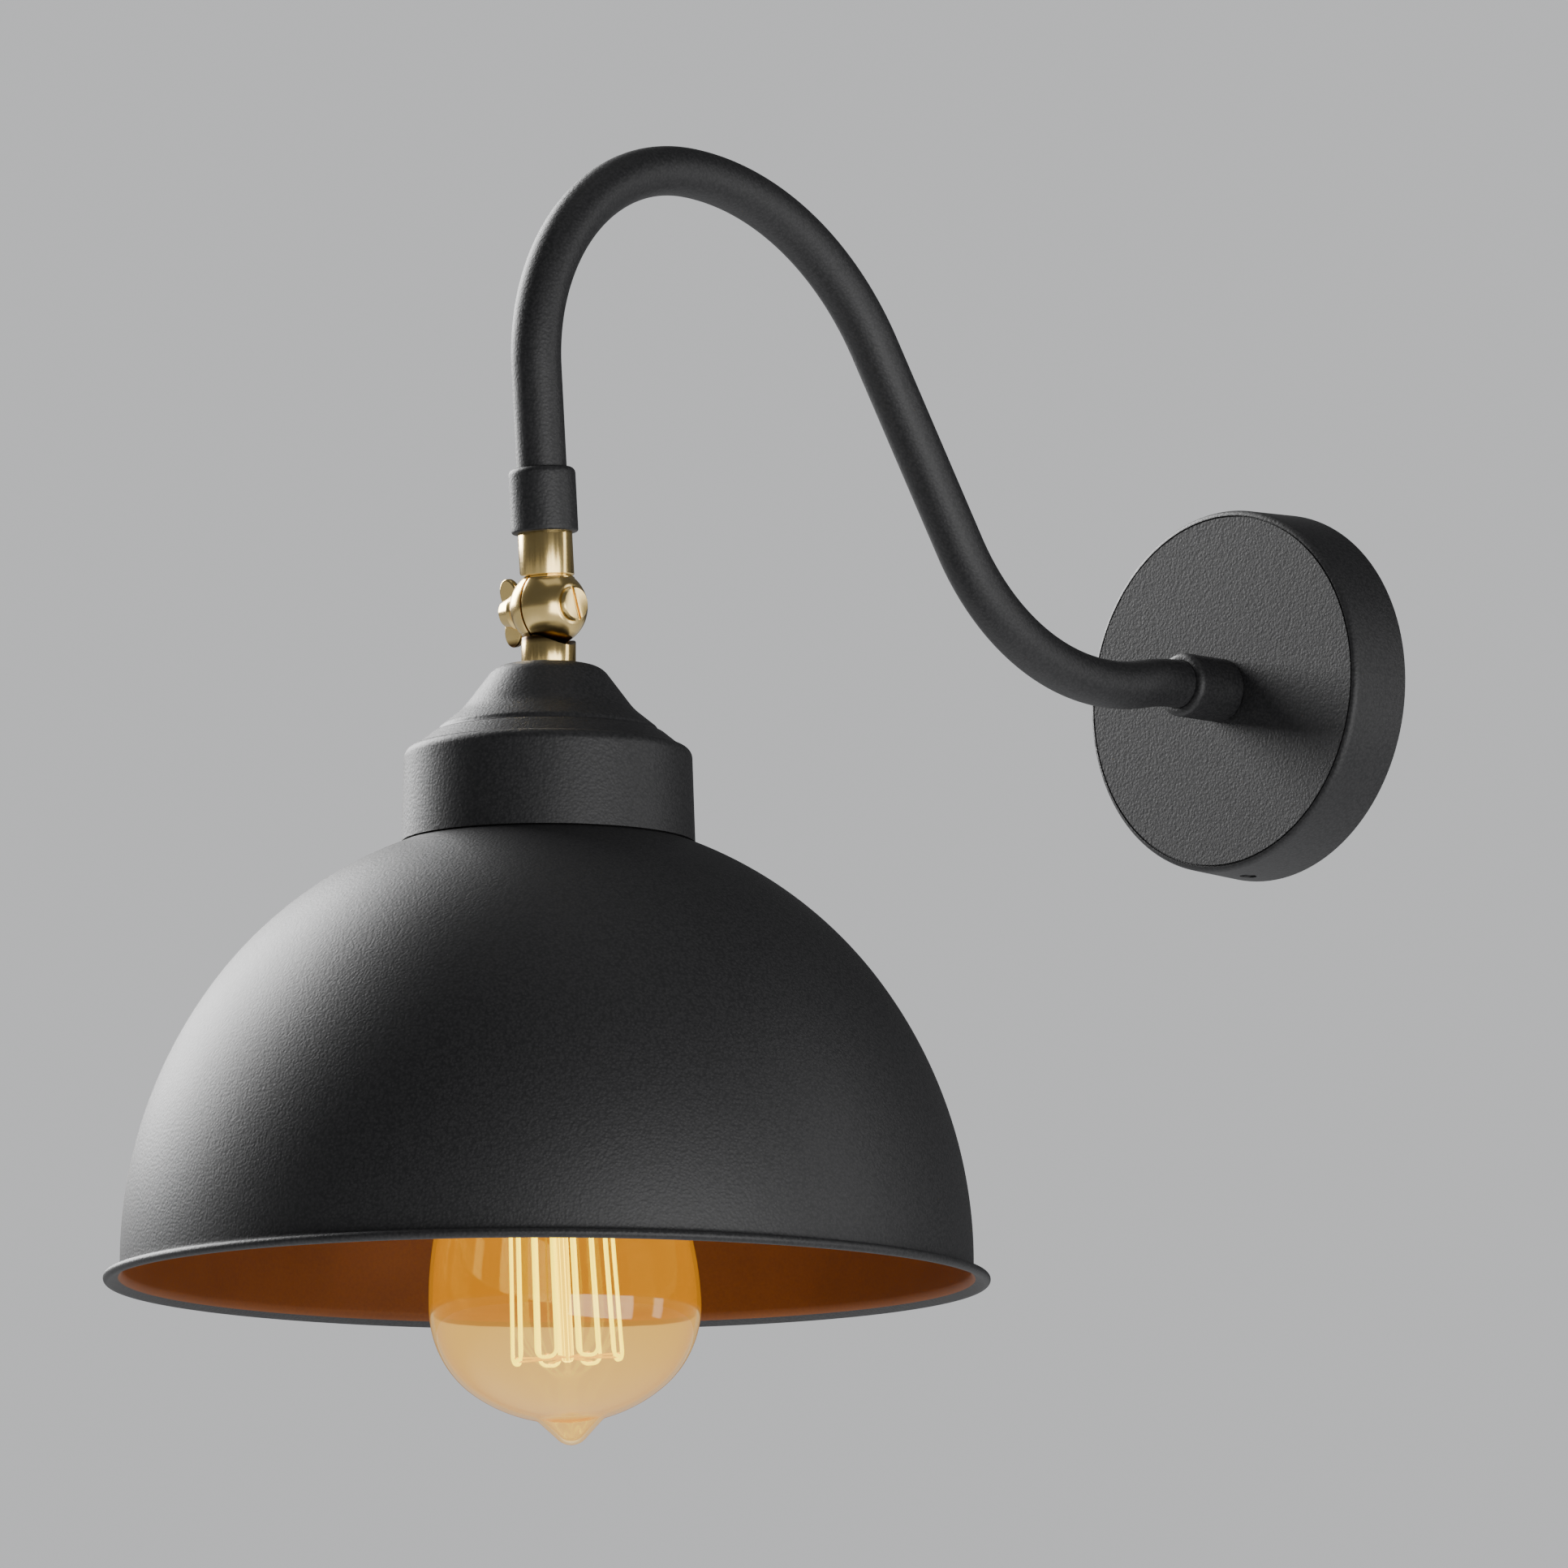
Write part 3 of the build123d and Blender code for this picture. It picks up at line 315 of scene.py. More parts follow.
sheath = plain_finish(
    "cable rubber", ((0.020, 0.020, 0.021), (0.032, 0.032, 0.034)), 0.5, 0.6 * MM, 0.04 * MM
)
fibre = plain_finish(
    "red fibre", ((0.20, 0.055, 0.03), (0.30, 0.09, 0.05)), 0.6, 0.4 * MM, 0.05 * MM
)
print("made the plain finishes")

# %% [markdown]
# ## Core insulation by colour
# The three cores leave the cable side by side: blue on the left, brown on the right, and the
# earth in green with a yellow stripe above them. One material reads which side of the lamp a
# point is on and picks the colour.

# %% Core insulation
def core_insulation():
    finish = Finish("core insulation")
    where = finish.place()
    right = finish.clamp(finish.along("X"), -0.1 * MM, 0.1 * MM)
    earth = finish.clamp(finish.along("Z"), 0.2 * MM, 0.3 * MM)
    grain = finish.noise(where, 0.8 * MM)
    stripe = finish.clamp(finish.noise(where, 1.6 * MM), 0.48, 0.52)
    live = finish.tint(right, (0.03, 0.09, 0.42), (0.16, 0.07, 0.03))
    earthed = finish.tint(stripe, (0.05, 0.25, 0.05), (0.70, 0.55, 0.05))
    return finish.surface(
        Base_Color=finish.tint(earth, live, earthed),
        Roughness=0.32 + 0.1 * grain,
        Normal=finish.bump(grain, 0.02 * MM, 0.4),
    )


cores = core_insulation()
print("made", cores.name)

# %% [markdown]
# ## Amber glass and glowing wire
# The lamp's envelope is clear glass with an amber wash, so it is a real shell that refracts, and
# its colour multiplies at each of its surfaces. A trace of warm glow stands for the light that the
# glass scatters when the lamp is lit. The stem is the same glass, thicker, and the wire glows.

# %% Glass and filament
def lamp_glass(name, colour, glow, amount):
    finish = Finish(name)
    where = finish.place()
    ripple = finish.noise(where, 14 * MM, 2.0)
    return finish.surface(
        Base_Color=finish.tint(ripple, colour, tuple(0.97 * c for c in colour)),
        Roughness=0.015 + 0.02 * ripple,
        IOR=1.47,
        Transmission_Weight=1.0,
        Emission_Color=(*glow, 1.0),
        Emission_Strength=amount,
        Normal=finish.bump(ripple, 0.05 * MM, 0.4),
    )


def glowing_wire(name, hot, cool, amount):
    finish = Finish(name)
    uneven = finish.noise(finish.place(), 5 * MM, 2.0)
    colour = finish.tint(finish.clamp(uneven, 0.3, 0.7), hot, cool)
    return finish.surface(
        Base_Color=(0.9, 0.6, 0.25, 1.0),
        Roughness=0.5,
        Emission_Color=colour,
        Emission_Strength=amount,
    )


amber = lamp_glass("amber washed glass", (1.0, 0.87, 0.42), (1.0, 0.40, 0.01), 0.15)
# painted light: the stem's glow, stronger than the envelope's, stands for the filament's light
# scattered in it
stem_glass = lamp_glass("clear stem glass", (1.0, 0.93, 0.60), (1.0, 0.80, 0.0), 1.0)
filament = glowing_wire("filament", (0.95, 0.98, 0.0), (1.0, 0.94, 0.03), 3.0)
# painted light: the support and lead wires glow faintly, standing for the filament's light on them
support_wire_painted_glow = glowing_wire("support wire with painted glow", (1.0, 0.55, 0.06), (1.0, 0.64, 0.10), 0.9)
print("made", amber.name, stem_glass.name, filament.name)

# %% [markdown]
# ## Tools for surfaces
# Everything new is a grid of points: rows along an outline, columns round an axis or round a path.
# A grid that closes on itself is joined at its seam, rows that shrink to a point are merged, and
# the faces are turned outwards once the surface is closed.

# %% Grids into meshes
def skin(name, grid, body, stands_for, materials, second=None):
    """Mesh of a closed grid (rows, columns, 3), wrapping both ways: each face joins a point to the
    next in its row and in its column. Rows in `second` take the second material."""
    rows, columns = grid.shape[:2]
    row, column = np.meshgrid(np.arange(rows), np.arange(columns), indexing="ij")
    row_next = (row + 1) % rows
    column_next = (column + 1) % columns
    corners = (
        row * columns + column,
        row_next * columns + column,
        row_next * columns + column_next,
        row * columns + column_next,
    )
    faces = np.stack(corners, axis=-1).reshape(-1, 4)
    mesh = bpy.data.meshes.new(name)
    mesh.from_pydata(grid.reshape(-1, 3), [], faces)
    for material in materials:
        mesh.materials.append(material)
    if second is not None:
        index = np.broadcast_to(np.isin(np.arange(rows), second)[:, None], (rows, columns))
        mesh.polygons.foreach_set("material_index", index.astype(np.int32).ravel())
    shell = bmesh.new()
    shell.from_mesh(mesh)
    bmesh.ops.remove_doubles(shell, verts=shell.verts, dist=1e-7)
    bmesh.ops.dissolve_degenerate(shell, edges=shell.edges, dist=1e-8)
    strays = [edge for edge in shell.edges if not edge.link_faces]
    bmesh.ops.delete(shell, geom=strays, context="EDGES")
    bmesh.ops.recalc_face_normals(shell, faces=shell.faces)
    shell.to_mesh(mesh)
    shell.free()
    mesh.shade_smooth()
    mesh.set_sharp_from_angle(angle=math.radians(32))
    piece = in_scene(name, mesh)
    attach(piece, body)
    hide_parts(*stands_for)
    print(name, len(mesh.polygons), "faces")


print("mesh maker ready")

# %% [markdown]
# ## Outlines
# In section, the metal of this lamp is sheet or bar with rounded corners. These helpers round the
# corners of a polyline, fill it with points, give it a wall and carry it round an axis.

# %% Outlines
def rounded(points, bends, steps):
    """Polyline with an arc of the given radius at each inner corner, sampled steps times."""
    points = np.array(points, float)
    pieces = [points[:1]]
    for before, corner, after, bend in zip(points, points[1:], points[2:], bends):
        into = (corner - before) / np.linalg.norm(corner - before)
        away = (after - corner) / np.linalg.norm(after - corner)
        turn = math.acos(float(np.clip(into @ away, -1, 1)))
        start = corner - into * bend * math.tan(turn / 2)
        inward = away - into * (into @ away)
        inward /= np.linalg.norm(inward)
        angle = np.linspace(0, turn, steps)[:, None]
        pieces.append(start + bend * (into * np.sin(angle) + inward * (1 - np.cos(angle))))
    pieces.append(points[-1:])
    return np.vstack(pieces)


def filled(line, step):
    """The same polyline with points no further apart than step."""
    pieces = []
    for a, b in zip(line, line[1:]):
        count = max(1, int(np.linalg.norm(b - a) / step))
        pieces.append(np.linspace(a, b, count, endpoint=False))
    return np.vstack(pieces + [line[-1:]])


def sheet(middle, wall):
    """Closed outline of a sheet: its middle line moved half a wall to the left and to the right."""
    along = np.diff(middle, axis=0)
    along /= np.linalg.norm(along, axis=1, keepdims=True)
    bisector = np.vstack((along[:1], along[1:] + along[:-1], along[-1:]))
    bisector /= np.linalg.norm(bisector, axis=1, keepdims=True)
    across = np.column_stack((-bisector[:, 1], bisector[:, 0])) * wall / 2
    return np.vstack((middle + across, (middle - across)[::-1]))


def turned(outline, columns=224):
    """Points of an outline (r, h) carried round an axis: (r cos t, r sin t, h)."""
    angle = np.linspace(0, 2 * np.pi, columns, endpoint=False)
    radius = outline[:, :1]
    height = np.broadcast_to(outline[:, 1:], (len(outline), columns))
    return np.stack((radius * np.cos(angle), radius * np.sin(angle), height), axis=-1)


def hung(grid):
    """Grid moved onto the shade's upright axis."""
    return grid + np.array((0, shade_y, 0))


def outward(grid):
    """Grid turned so that its height points out from the wall: (x, y, h) to (x, -h, y)."""
    return np.stack((grid[..., 0], -grid[..., 2], grid[..., 1]), axis=-1)


print("surface tools ready")

# %% [markdown]
# ## Following an arc
# The shade, the arm and the lamp's envelope were all drawn as lines and arcs that run into each
# other without a kink. A short table of turns describes each of them, and one helper walks along
# such a table, keeping its heading.

# %% A walk in straight runs and arcs
def cosine(degrees):
    """Cosine of an angle in degrees."""
    return math.cos(math.radians(degrees))


def sine(degrees):
    """Sine of an angle in degrees."""
    return math.sin(math.radians(degrees))


def walk(start, heading, steps, gap):
    """Points of a path in a plane, about gap apart. A step is ("run", length) or ("bend", radius,
    turn in degrees), to the left where positive. A bend's points are centre + radius (cos a,
    sin a)."""
    points = [np.array([start], float)]
    for kind, size, *turn in steps:
        last = points[-1][-1]
        if kind == "run":
            count = max(2, int(size / gap))
            reach = np.linspace(0, size, count + 1)[1:, None]
            points.append(last + reach * np.array((math.cos(heading), math.sin(heading))))
            continue
        turned_by = math.radians(turn[0])
        side = math.copysign(1, turned_by)
        centre = last + side * size * np.array((-math.sin(heading), math.cos(heading)))
        count = max(2 + int(abs(turn[0]) / 12), int(abs(turned_by) * size / gap))
        angle = heading - side * math.pi / 2 + np.linspace(0, turned_by, count + 1)[1:]
        points.append(centre + size * np.column_stack((np.cos(angle), np.sin(angle))))
        heading += turned_by
    return np.vstack(points)


print("a quarter bend has", len(walk((0, 0), 0, [("bend", 1.0, 90)], 0.1)), "points")

# %% [markdown]
# ## The shade
# A spun dome: flat where it is clamped, a small bend, then two arcs of 99 and 111 mm that run into
# each other, a short straight skirt, and a lip that flares out and ends in a tight hem, which
# stiffens the edge. It is black outside and copper inside. The two paints meet on the lip, so
# every row of the grid knows which finish it takes.

# %% Dome
shade_wall = 0.8 * MM
shade_radius = 100.9 * MM
crown_radius = 99.0 * MM
side_radius = 111.0 * MM
side_turn = 36.3
seat_radius = 26.0 * MM
seat_bend = 8.0 * MM
hole_radius = 19.65 * MM
skirt = 2.1 * MM
lip_bend, lip_turn = 2.0 * MM, 60
lip = 2.15 * MM
hem = ("bend", 0.75 * MM, 250)
row_gap = 1.6 * MM

crown_line = crown_radius - shade_wall / 2
side_line = side_radius - shade_wall / 2
crown_centre = shade_radius - side_radius + (side_radius - crown_radius) * cosine(side_turn)
bend_offset = seat_radius - crown_centre
bend_drop = math.sqrt((crown_line - seat_bend) ** 2 - bend_offset**2)
bend_turn = math.degrees(math.atan2(bend_offset, bend_drop))
shade_top = (hole_radius, shade_high[2] - shade_wall / 2)
to_the_hem = [
    ("run", seat_radius - hole_radius),
    ("bend", seat_bend, -bend_turn),
    ("bend", crown_line, bend_turn + side_turn - 90),
    ("bend", side_line, -side_turn),
    ("run", skirt),
    ("bend", lip_bend, lip_turn),
    ("run", lip),
]
copper_rows = len(walk(shade_top, 0.0, to_the_hem[:-1], row_gap))
shade_outline = sheet(walk(shade_top, 0.0, to_the_hem + [hem], row_gap), shade_wall)
middle_row = len(shade_outline) - 1 - np.arange(len(shade_outline))
skin(
    "shade_skin", hung(turned(shade_outline, 288)), "head", ["dome_shade"],
    [coat, lining], np.where(middle_row < copper_rows)[0],
)
print("shade reaches", shade_outline.max(axis=0).round(5), "in radius and height")

# %% [markdown]
# ## Cap and collar
# Over the shade sits a short collar, spun like a pot, and a cap whose cone runs out into a skirt
# with one fine groove. Both are thin sheets too. A groove is a dent in the outline: points close to
# it are pushed in by its depth, fading to nothing at its edges.

# %% Groove helper, cap and collar
def grooved(outline, height, width, depth, inward):
    """Move the outline by depth along inward, times (1 - (distance / half width)^2)^2, where it
    is close to a height."""
    distance = np.clip(abs(outline[:, 1] - height) / (width / 2), 0, 1)
    return outline + (depth * (1 - distance**2) ** 2)[:, None] * np.array(inward)


cap_low, cap_high = box("cap_cone")
cap_wall = 1.0 * MM
cap_middle = cap_high[2] - cap_wall / 2
cap_hole = 5.1 * MM
brow, brow_bend = 12.25 * MM, 5.2 * MM
waist, waist_bend = np.array((20.15 * MM, cap_high[2] - 10.95 * MM)), 14.5 * MM
foot = np.array((30.95 * MM, cap_low[2]))
below_foot = foot + (foot - waist) * 0.3
cap_slope = (below_foot - waist) / np.linalg.norm(below_foot - waist)
cap_line = rounded(
    [(cap_hole, cap_middle), (brow, cap_middle), waist, below_foot], (brow_bend, waist_bend), 24
)
cap_outline = sheet(filled(cap_line, 0.35 * MM), cap_wall)

groove_height = cap_high[2] - 15.6 * MM
groove_width, groove_depth = 1.6 * MM, 0.5 * MM
inward = (cap_slope[1], -cap_slope[0])
dented = grooved(cap_outline, groove_height, groove_width, groove_depth, inward)
outer_half = np.arange(len(cap_outline)) < len(cap_outline) // 2
cap_outline = np.where(outer_half[:, None], dented, cap_outline)
past_the_foot = np.minimum(cap_outline[:, 1:] - cap_low[2], 0) / cap_slope[1]
cap_outline = cap_outline - past_the_foot * cap_slope
skin("cap_skin", hung(turned(cap_outline)), "head", ["cap_cone"], [coat])

collar_low, collar_high = box("collar")
collar_wall = 1.0 * MM
collar_middle = collar_high[2] - collar_wall / 2
collar_hole, collar_top, collar_foot = 22.0 * MM, 33.7 * MM, 34.5 * MM
collar_bend = 2.2 * MM
collar_line = rounded(
    [(collar_hole, collar_middle), (collar_top, collar_middle), (collar_foot, collar_low[2])],
    (collar_bend,),
    16,
)
collar_outline = sheet(filled(collar_line, 0.8 * MM), collar_wall)
skin("collar_skin", hung(turned(collar_outline)), "head", ["collar"], [coat])

# %% [markdown]
# ## The arm
# A steel tube bent on a mandrel: it leaves the wall, dips, climbs at 57 degrees, turns over in two
# bends of different radius and comes down almost upright. The straight runs between the bends
# follow from the height of the arch and from the pivot that the arm has to reach.

# %% The arm's path
arch_height = 106.5 * MM
rear_run = 33.6 * MM
dip_bend, dip = 60.0 * MM, 12.1
rise_bend, rise = 62.4 * MM, 57.0
crest_bend = 77.0 * MM
front_bend, front_lean = 50.5 * MM, 4.25
upper_neck = 17.8 * MM
tube_seat = 7.5 * MM
tube_low, tube_high = box("arm_tube")
tube_start = tube_high[1]
climb = (
    arch_height
    - crest_bend * (1 - cosine(rise))
    + rise_bend * (cosine(rise) - cosine(dip))
    + dip_bend * (1 - cosine(dip))
) / sine(rise)
front = (arch_height - pivot[2] - front_bend * (1 + sine(front_lean))) / cosine(front_lean)
arm_path = walk(
    (-tube_start, 0.0),
    0.0,
    [
        ("run", rear_run + tube_start),
        ("bend", dip_bend, -dip),
        ("bend", rise_bend, dip + rise),
        ("run", climb),
        ("bend", crest_bend, -rise),
        ("bend", front_bend, -90 - front_lean),
        ("run", front - upper_neck - tube_seat),
    ],
    1.2 * MM,
)
print("arm path ends at", arm_path[-1].round(4), "tube front end at", (-tube_low[1]).round(4))

# %% [markdown]
# ## The tube round that path
# The arm's surface is a circle carried along the path, X being square to the path everywhere
# because the arm lies in one plane. The inner wall goes back the same way, so both ends are open
# and the tube is hollow.

# %% Tube
def swept(path, radius, columns):
    """Circle of the given radius carried along a path in the plane X = 0, path points being
    (distance from the wall, height): centre + radius (cos a X + sin a N), N square to the path."""
    along = np.gradient(path, axis=0)
    along /= np.linalg.norm(along, axis=1, keepdims=True)
    angle = np.linspace(0, 2 * np.pi, columns, endpoint=False)
    side = radius * np.cos(angle) * np.ones((len(path), 1))
    off = radius * np.sin(angle)
    out = path[:, :1] - along[:, 1:] * off
    up = path[:, 1:] + along[:, :1] * off
    return np.stack((side, -out, up), axis=-1)


tube_radius, tube_bore, tube_columns = 6.0 * MM, 5.0 * MM, 96
outside = swept(arm_path, tube_radius, tube_columns)
inside = swept(arm_path, tube_bore, tube_columns)[::-1]
tube = np.concatenate((outside, inside))
skin("arm_skin", tube, "arm", ["arm_tube"], [coat])

# %% [markdown]
# ## The ferrules
# One turned ferrule joins the tube to the canopy, and one joins it to the knuckle. Both are the
# same outline turned round an axis, with the sharp edges broken by half a millimetre.

# %% Ferrules
def ferrule_grid():
    """Ferrule standing on its seat at height 0. Its section is (radius, height) in millimetres: a
    narrow bore below the tube's end and a wide one round the tube."""
    section = [(5.0, 0), (8.0, 0), (8.0, 15.6), (6.05, 15.6), (6.05, 7.5), (5.0, 7.5)]
    broken_edges = (0.6, 1.5, 0.15, 0.3)
    return turned(filled(rounded(section, broken_edges, 6), 0.8) * MM, 96)


def leaning(grid, degrees):
    """Grid built over the pivot, turned about X by an angle and set at the pivot."""
    turn = ((1, 0, 0), (0, cosine(degrees), -sine(degrees)), (0, sine(degrees), cosine(degrees)))
    return grid @ np.array(turn).T + pivot


wall_ferrule = outward(ferrule_grid() + np.array((0, 0, -canopy_front)))
skin("wall_ferrule", wall_ferrule, "arm", ["arm_rear_ferrule"], [coat])
front_ferrule = leaning(ferrule_grid() + np.array((0, 0, upper_neck)), front_lean)
skin("front_ferrule", front_ferrule, "arm", ["arm_front_ferrule"], [coat])

# %% [markdown]
# ## Brass, softened at its edges
# The two halves of the knuckle, the screw and the washer keep the frame's exact shapes. What they
# lack is the fine broken edge that catches the light, so each one is copied, its doubles are
# merged, and a narrow bevel goes on wherever two faces meet sharply. The wing nut's edges are
# round in the frame already.

# %% Knuckle pieces
def softened(node, body, material, width):
    """Copy of a frame piece with its doubles merged and its sharp edges bevelled."""
    mesh = frame["nodes"][node].data.copy()
    mesh.name = node + "_soft"
    mesh.materials.clear()
    mesh.materials.append(material)
    shape = bmesh.new()
    shape.from_mesh(mesh)
    bmesh.ops.remove_doubles(shape, verts=shape.verts, dist=1e-6)
    bmesh.ops.dissolve_limit(
        shape, angle_limit=math.radians(0.5), verts=shape.verts, edges=shape.edges
    )
    shape.to_mesh(mesh)
    shape.free()
    mesh.shade_smooth()
    piece = in_scene(node + "_soft", mesh)
    bevel = piece.modifiers.new("broken edge", "BEVEL")
    bevel.width = width
    bevel.segments = 3
    bevel.angle_limit = math.radians(35)
    bevel.harden_normals = True
    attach(piece, body)
    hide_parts(node)


for node, body, width in (
    ("upper_knuckle", "arm", 0.18 * MM),
    ("lower_knuckle", "head", 0.18 * MM),
    ("pivot_screw", "arm", 0.10 * MM),
    ("pivot_washer", "nut_washer", 0.08 * MM),
):
    softened(node, body, brass, width)
print("softened the knuckle")

# %% [markdown]
# ## The lamp's envelope
# A teardrop blown in amber-washed glass: a neck, a cone, a long shoulder, the round belly and a
# sealed tip with a small hollow above it. First comes the middle line of its wall, from the neck
# down to the tip.

# %% The glass in section
glass_wall = 0.9 * MM
neck_line, neck_run = 11.05 * MM, 10.0 * MM
flare = 21.5
flare_bend, cone_bend = 60.0 * MM, 81.0 * MM
wide_line = 31.75 * MM
side_bend = 24.6 * MM
bowl_height = 27.0 * MM
tip_start = 8.6 * MM
tip_fillet, tip_bend = 3.0 * MM, 4.0 * MM

cone = (wide_line - neck_line - (flare_bend + cone_bend) * (1 - cosine(flare))) / sine(flare)
inset = wide_line - side_bend
bowl_bend = (inset**2 + bowl_height**2 - side_bend**2) / (2 * (bowl_height - side_bend))
belly_turn = math.degrees(math.atan2(bowl_bend - bowl_height, inset))
tip_heading = math.degrees(math.atan2(tip_start, math.sqrt(bowl_bend**2 - tip_start**2)))
tip_run = tip_start - tip_bend * sine(45)
tip_run -= tip_fillet * (sine(45) - sine(tip_heading))
tip_run /= sine(45)
glass_line = walk(
    (neck_line, lamp_mouth + 7.0 * MM),
    -math.pi / 2,
    [
        ("run", neck_run),
        ("bend", flare_bend, flare),
        ("run", cone),
        ("bend", cone_bend, -flare),
        ("bend", side_bend, -belly_turn),
        ("bend", bowl_bend, belly_turn + tip_heading - 90),
        ("bend", tip_fillet, 45 - tip_heading),
        ("run", tip_run),
        ("bend", tip_bend, -45),
    ],
    0.9 * MM,
)
glass_line[-1, 0] = 0.0
print("glass ends", round(glass_line[-1, 1], 4), "after a cone of", round(cone, 4))

# %% [markdown]
# ## A little crooked
# The wall of the glass is real, 0.9 mm thick, so it shades as a shell. The lamp sits three degrees
# crooked in its cap, as the photographed one does, so its glass, stem and wire are all leaned.

# %% Envelope
glass_lean = 3.0


def leaned(points):
    """Points leaned about a level axis k through the lamp's mouth, so that the tip goes towards +X
    and +Y. The axis-angle turn is p cos t + (k x p) sin t + k (k . p) (1 - cos t)."""
    centre = np.array((0, shade_y, lamp_mouth))
    axis = np.array((1, -1, 0)) / math.sqrt(2)
    reach = points - centre
    around = np.cross(axis, reach) * sine(glass_lean)
    along = axis * (reach @ axis)[..., None] * (1 - cosine(glass_lean))
    return centre + reach * cosine(glass_lean) + around + along


glass_outline = sheet(glass_line, glass_wall)
glass_outline[:, 0] = np.maximum(glass_outline[:, 0], 0)
envelope = leaned(hung(turned(glass_outline, 160)))
skin("envelope", envelope, "lamp", ["lamp_glass"], [amber])

# %% [markdown]
# ## The stem
# Inside the neck, a flared tube of glass is sealed to a thin glass rod that runs down the middle of
# the cage. Flare, tube and rod are one outline, walked down the outside and up the bore.

# %% Stem
stem_wall, stem_line, stem_bend = 0.8 * MM, 3.2 * MM, 3.0 * MM
flare_radius, flare_reach = 10.15 * MM, 5.0 * MM
stem_foot = lamp_mouth - 22.0 * MM
bore_foot = stem_foot + 8.0 * MM
cage_top = lamp_mouth - 27.0 * MM
cage_foot = cage_top - 68.0 * MM
flare_line = rounded(
    [
        (flare_radius, lamp_mouth + flare_reach),
        (stem_line, lamp_mouth - flare_reach),
        (stem_line, bore_foot),
    ],
    (stem_bend,),
    10,
)
outer_side, inner_side = np.split(sheet(filled(flare_line, 0.6 * MM), stem_wall), 2)
seal = np.array([(3.6, 1.2), (3.3, 0.5), (2.6, 0.15), (1.5, 0.0)]) * MM + (0, stem_foot)
rod_end = np.array([(1.5, 0.6), (1.2, -0.2), (0.6, -0.5), (0.0, -0.5)]) * MM + (0, cage_foot)
bore_floor = [(0.0, bore_foot)]
print("stem wall from r", outer_side[-1].round(4), "to", inner_side[0].round(4))
stem = leaned(hung(turned(np.vstack((outer_side, seal, rod_end, bore_floor, inner_side)), 48)))
skin("stem", stem, "lamp", ["lamp_stem"], [stem_glass])

# %% [markdown]
# ## The filament
# One wire runs up and down the cage sixteen times. It is carried over hooks at the top and the foot
# alternately, so its turns are round. A small circle goes along the wire, and at each point the
# circle's own axes are the wire's direction and the direction away from the lamp's axis.

# %% Wires
def wire(path, radius, columns=10):
    """Circle carried along a path in space: centre + radius (cos a U + sin a V), where U is the
    level direction away from the axis made square to the path, and V is square to both."""
    along = np.gradient(path, axis=0)
    along /= np.linalg.norm(along, axis=1, keepdims=True)
    away = path * np.array((1, 1, 0)) + np.array((0, 0, 1e-6))
    away = away - along * np.sum(away * along, axis=1, keepdims=True)
    away /= np.linalg.norm(away, axis=1, keepdims=True)
    other = np.cross(along, away)
    angle = np.linspace(0, 2 * np.pi, columns, endpoint=False)[None, :, None]
    ring = away[:, None] * np.cos(angle) + other[:, None] * np.sin(angle)
    body = path[:, None] + radius * ring
    ends = [np.repeat(path[[place]], columns, axis=0)[None] for place in (0, -1)]
    return np.concatenate((ends[0], body, ends[1]))


strands = 16
sweep = math.radians(332)
cage_top_radius, cage_foot_radius = 11.0 * MM, 13.2 * MM
hook_bend = 1.9 * MM
wire_radius = 0.45 * MM
corners = []
for number, angle in enumerate(np.linspace(-sweep / 2, sweep / 2, strands)):
    from_axis = np.array((math.cos(angle), math.sin(angle)))
    top = (*(cage_top_radius * from_axis), cage_top)
    bottom = (*(cage_foot_radius * from_axis), cage_foot)
    corners += [bottom, top] if number % 2 else [top, bottom]
filament_path = filled(rounded(corners, [hook_bend] * (len(corners) - 2), 8), 2.0 * MM)
cage = leaned(hung(wire(filament_path, wire_radius)))
skin("filament", cage, "lamp", ["lamp_filament"], [filament])

# %% [markdown]
# ## Dressing the rest
# Every other piece keeps its shape from the frame and takes its finish by the slot that the record
# gives it.

# %% Finishes by slot
finishes = {
    "black_powder_coat": coat,
    "lacquered_brass": brass,
    "zinc_steel": zinc,
    "holder_enamel": enamel,
    "porcelain": porcelain,
    "terminal_plastic": block_plastic,
    "contact_brass": contact_brass,
    "cable_sheath": sheath,
    "core_sheath": cores,
    "lamp_brass": lamp_brass,
    "lamp_black_glass": black_glass,
    "amber_glass": amber,
    "stem_glass": stem_glass,
    "filament_wire": support_wire_painted_glow,
    "fibre": fibre,
}
for part in frame["record"]["subparts"]:
    node = frame["nodes"][part["node"]]
    node.data.materials.clear()
    node.data.materials.append(finishes[part["material_slot"]])

# %% [markdown]
# ## Camera
# The photograph was taken from in front of the wall and to the right, a little below the shade,
# with a long lens. The camera stands three metres away at that angle and looks at the point that
# the picture is centred on.

# %% Camera
def look(thing, place, target):
    """Put an object at a place and point its -Z at a target, with +Y up."""
    thing.location = place
    aim = Vector(np.subtract(target, place))
    thing.rotation_euler = aim.to_track_quat("-Z", "Y").to_euler()


camera = in_scene("camera", bpy.data.cameras.new("camera"))
picture_centre = (0.0, -0.17278, -0.03957)
look(camera, (2.1525, -2.3230, -0.4813), picture_centre)
camera.data.lens = 291.5
camera.data.sensor_width = 36.0
bpy.context.scene.camera = camera
print("camera at", [round(v, 3) for v in camera.location])

# %% [markdown]
# ## Floor
# A pale floor lies well below the lamp. It glows faintly, so that it stays as pale as the
# surrounding in the views that look down on it.

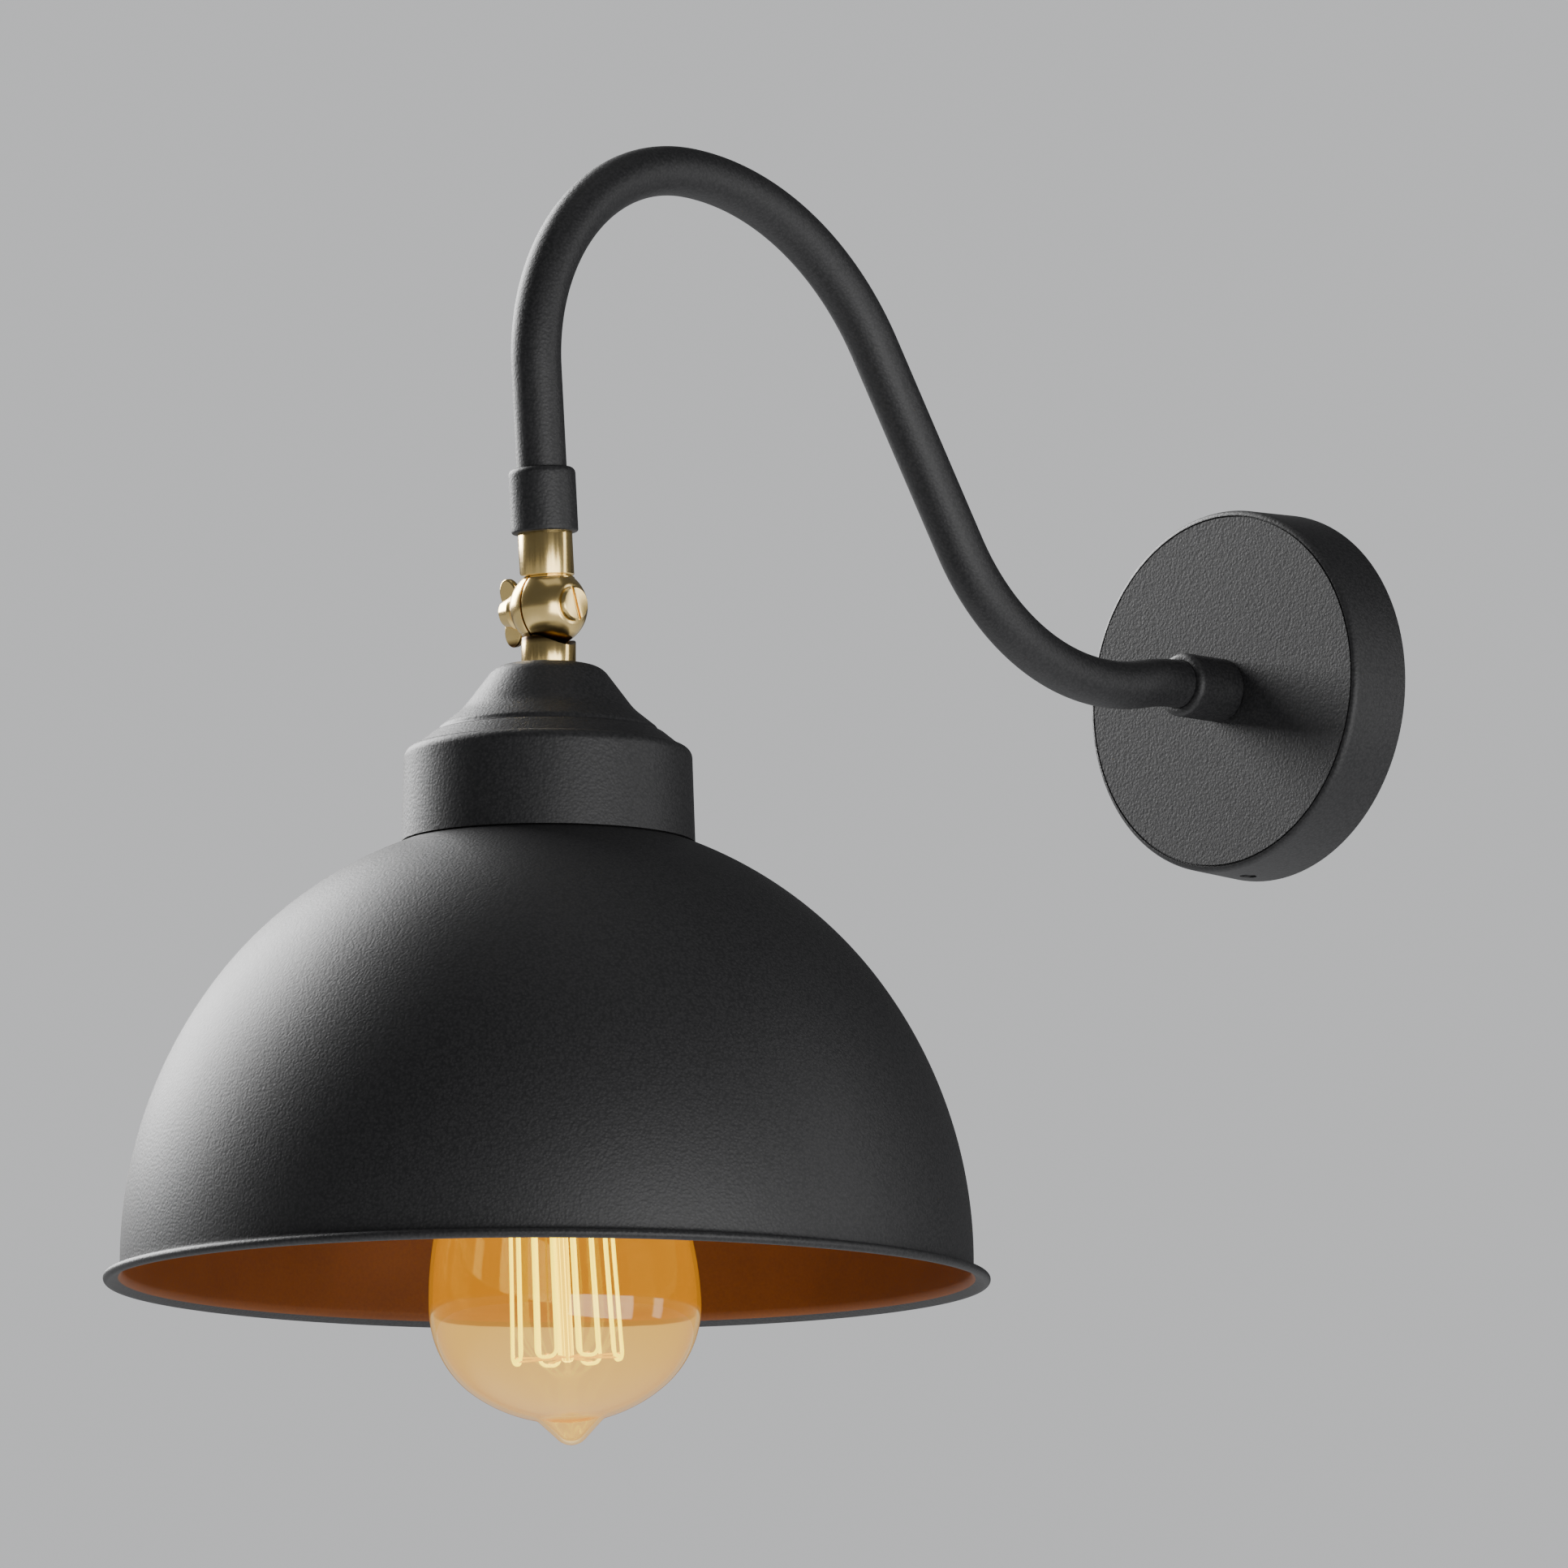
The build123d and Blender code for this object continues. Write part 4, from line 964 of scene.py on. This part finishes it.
# %% Floor
floor_height = -1.4
floor_reach = 30.0
tiles = 20
posts = tiles + 1
span = np.linspace(-floor_reach, floor_reach, posts)
across, deep = np.meshgrid(span, span, indexing="ij")
floor_points = np.stack((across, deep, np.full_like(across, floor_height)), axis=-1)
row, column = np.meshgrid(np.arange(tiles), np.arange(tiles), indexing="ij")
corner = (row * posts + column).reshape(-1, 1)
floor_faces = corner + np.array((0, posts, posts + 1, 1))
floor_mesh = bpy.data.meshes.new("floor")
floor_mesh.from_pydata(floor_points.reshape(-1, 3), [], floor_faces)
floor = in_scene("floor", floor_mesh)
floor_finish = Finish("pale floor")
floor_clouds = floor_finish.noise(floor_finish.place(), 0.6, 2.0)
floor_mesh.materials.append(
    floor_finish.surface(
        Base_Color=floor_finish.tint(floor_clouds, (0.62, 0.62, 0.63), (0.68, 0.68, 0.69)),
        Roughness=0.75,
        Emission_Color=(0.98, 0.99, 1.0, 1.0),
        Emission_Strength=0.38,
    )
)
print("floor laid")

# %% [markdown]
# ## Surrounding
# The surrounding looks pale but lights the lamp dimly, or the black coat would turn grey all over.
# A Light Path node tells the rays that look straight at it, or through the glass, from the rest.

# %% Surrounding
studio = Finish("studio", bpy.data.worlds.new("studio"))
seen = studio.node("ShaderNodeLightPath", output="Is Camera Ray")
seen_through = studio.node("ShaderNodeLightPath", output="Is Transmission Ray")
looked_at = studio.math("MAXIMUM", seen, seen_through)
lighting_tone, seen_tone = (0.095, 0.097, 0.10), (0.62, 0.625, 0.635)
bpy.context.scene.world = studio.surface(
    Color=studio.tint(looked_at, lighting_tone, seen_tone),
    Strength=1.0,
)
print("surrounding made")

# %% [markdown]
# ## Four soft lamps
# A large key from the left and behind draws the sheen down the shade's left flank. A low fill
# stands in front on the right, a weak strip on the right serves the edges and the brass, and the
# last and weakest one hangs above.

# %% Lights
lit_point = np.array((0.0, shade_y, -0.06))
toward = (np.array(camera.location) - lit_point) * np.array((1, 1, 0))
toward /= np.linalg.norm(toward)
right = np.array((-toward[1], toward[0], 0.0))


def softbox(name, ahead, sideways, height, width, tall, power):
    """Area lamp aimed at the lit point and placed from it: metres towards the camera, to the
    camera's right and up, then its own width and height, and its power in watts."""
    light = bpy.data.lights.new(name, "AREA")
    light.shape = "RECTANGLE"
    light.size = width
    light.size_y = tall
    light.energy = power
    place = lit_point + ahead * toward + sideways * right + np.array((0, 0, height))
    look(in_scene(name, light), place, lit_point)


for setting in (
    ("key", -1.04, -0.97, 0.76, 1.0, 1.0, 66.0),
    ("fill", 1.20, 0.75, -0.20, 1.5, 0.8, 17.0),
    ("edge", 0.10, 1.30, 0.20, 0.25, 1.2, 3.0),
    ("overhead", 0.2, 0.1, 1.5, 1.0, 1.0, 1.5),
):
    softbox(*setting)
print("lights placed")
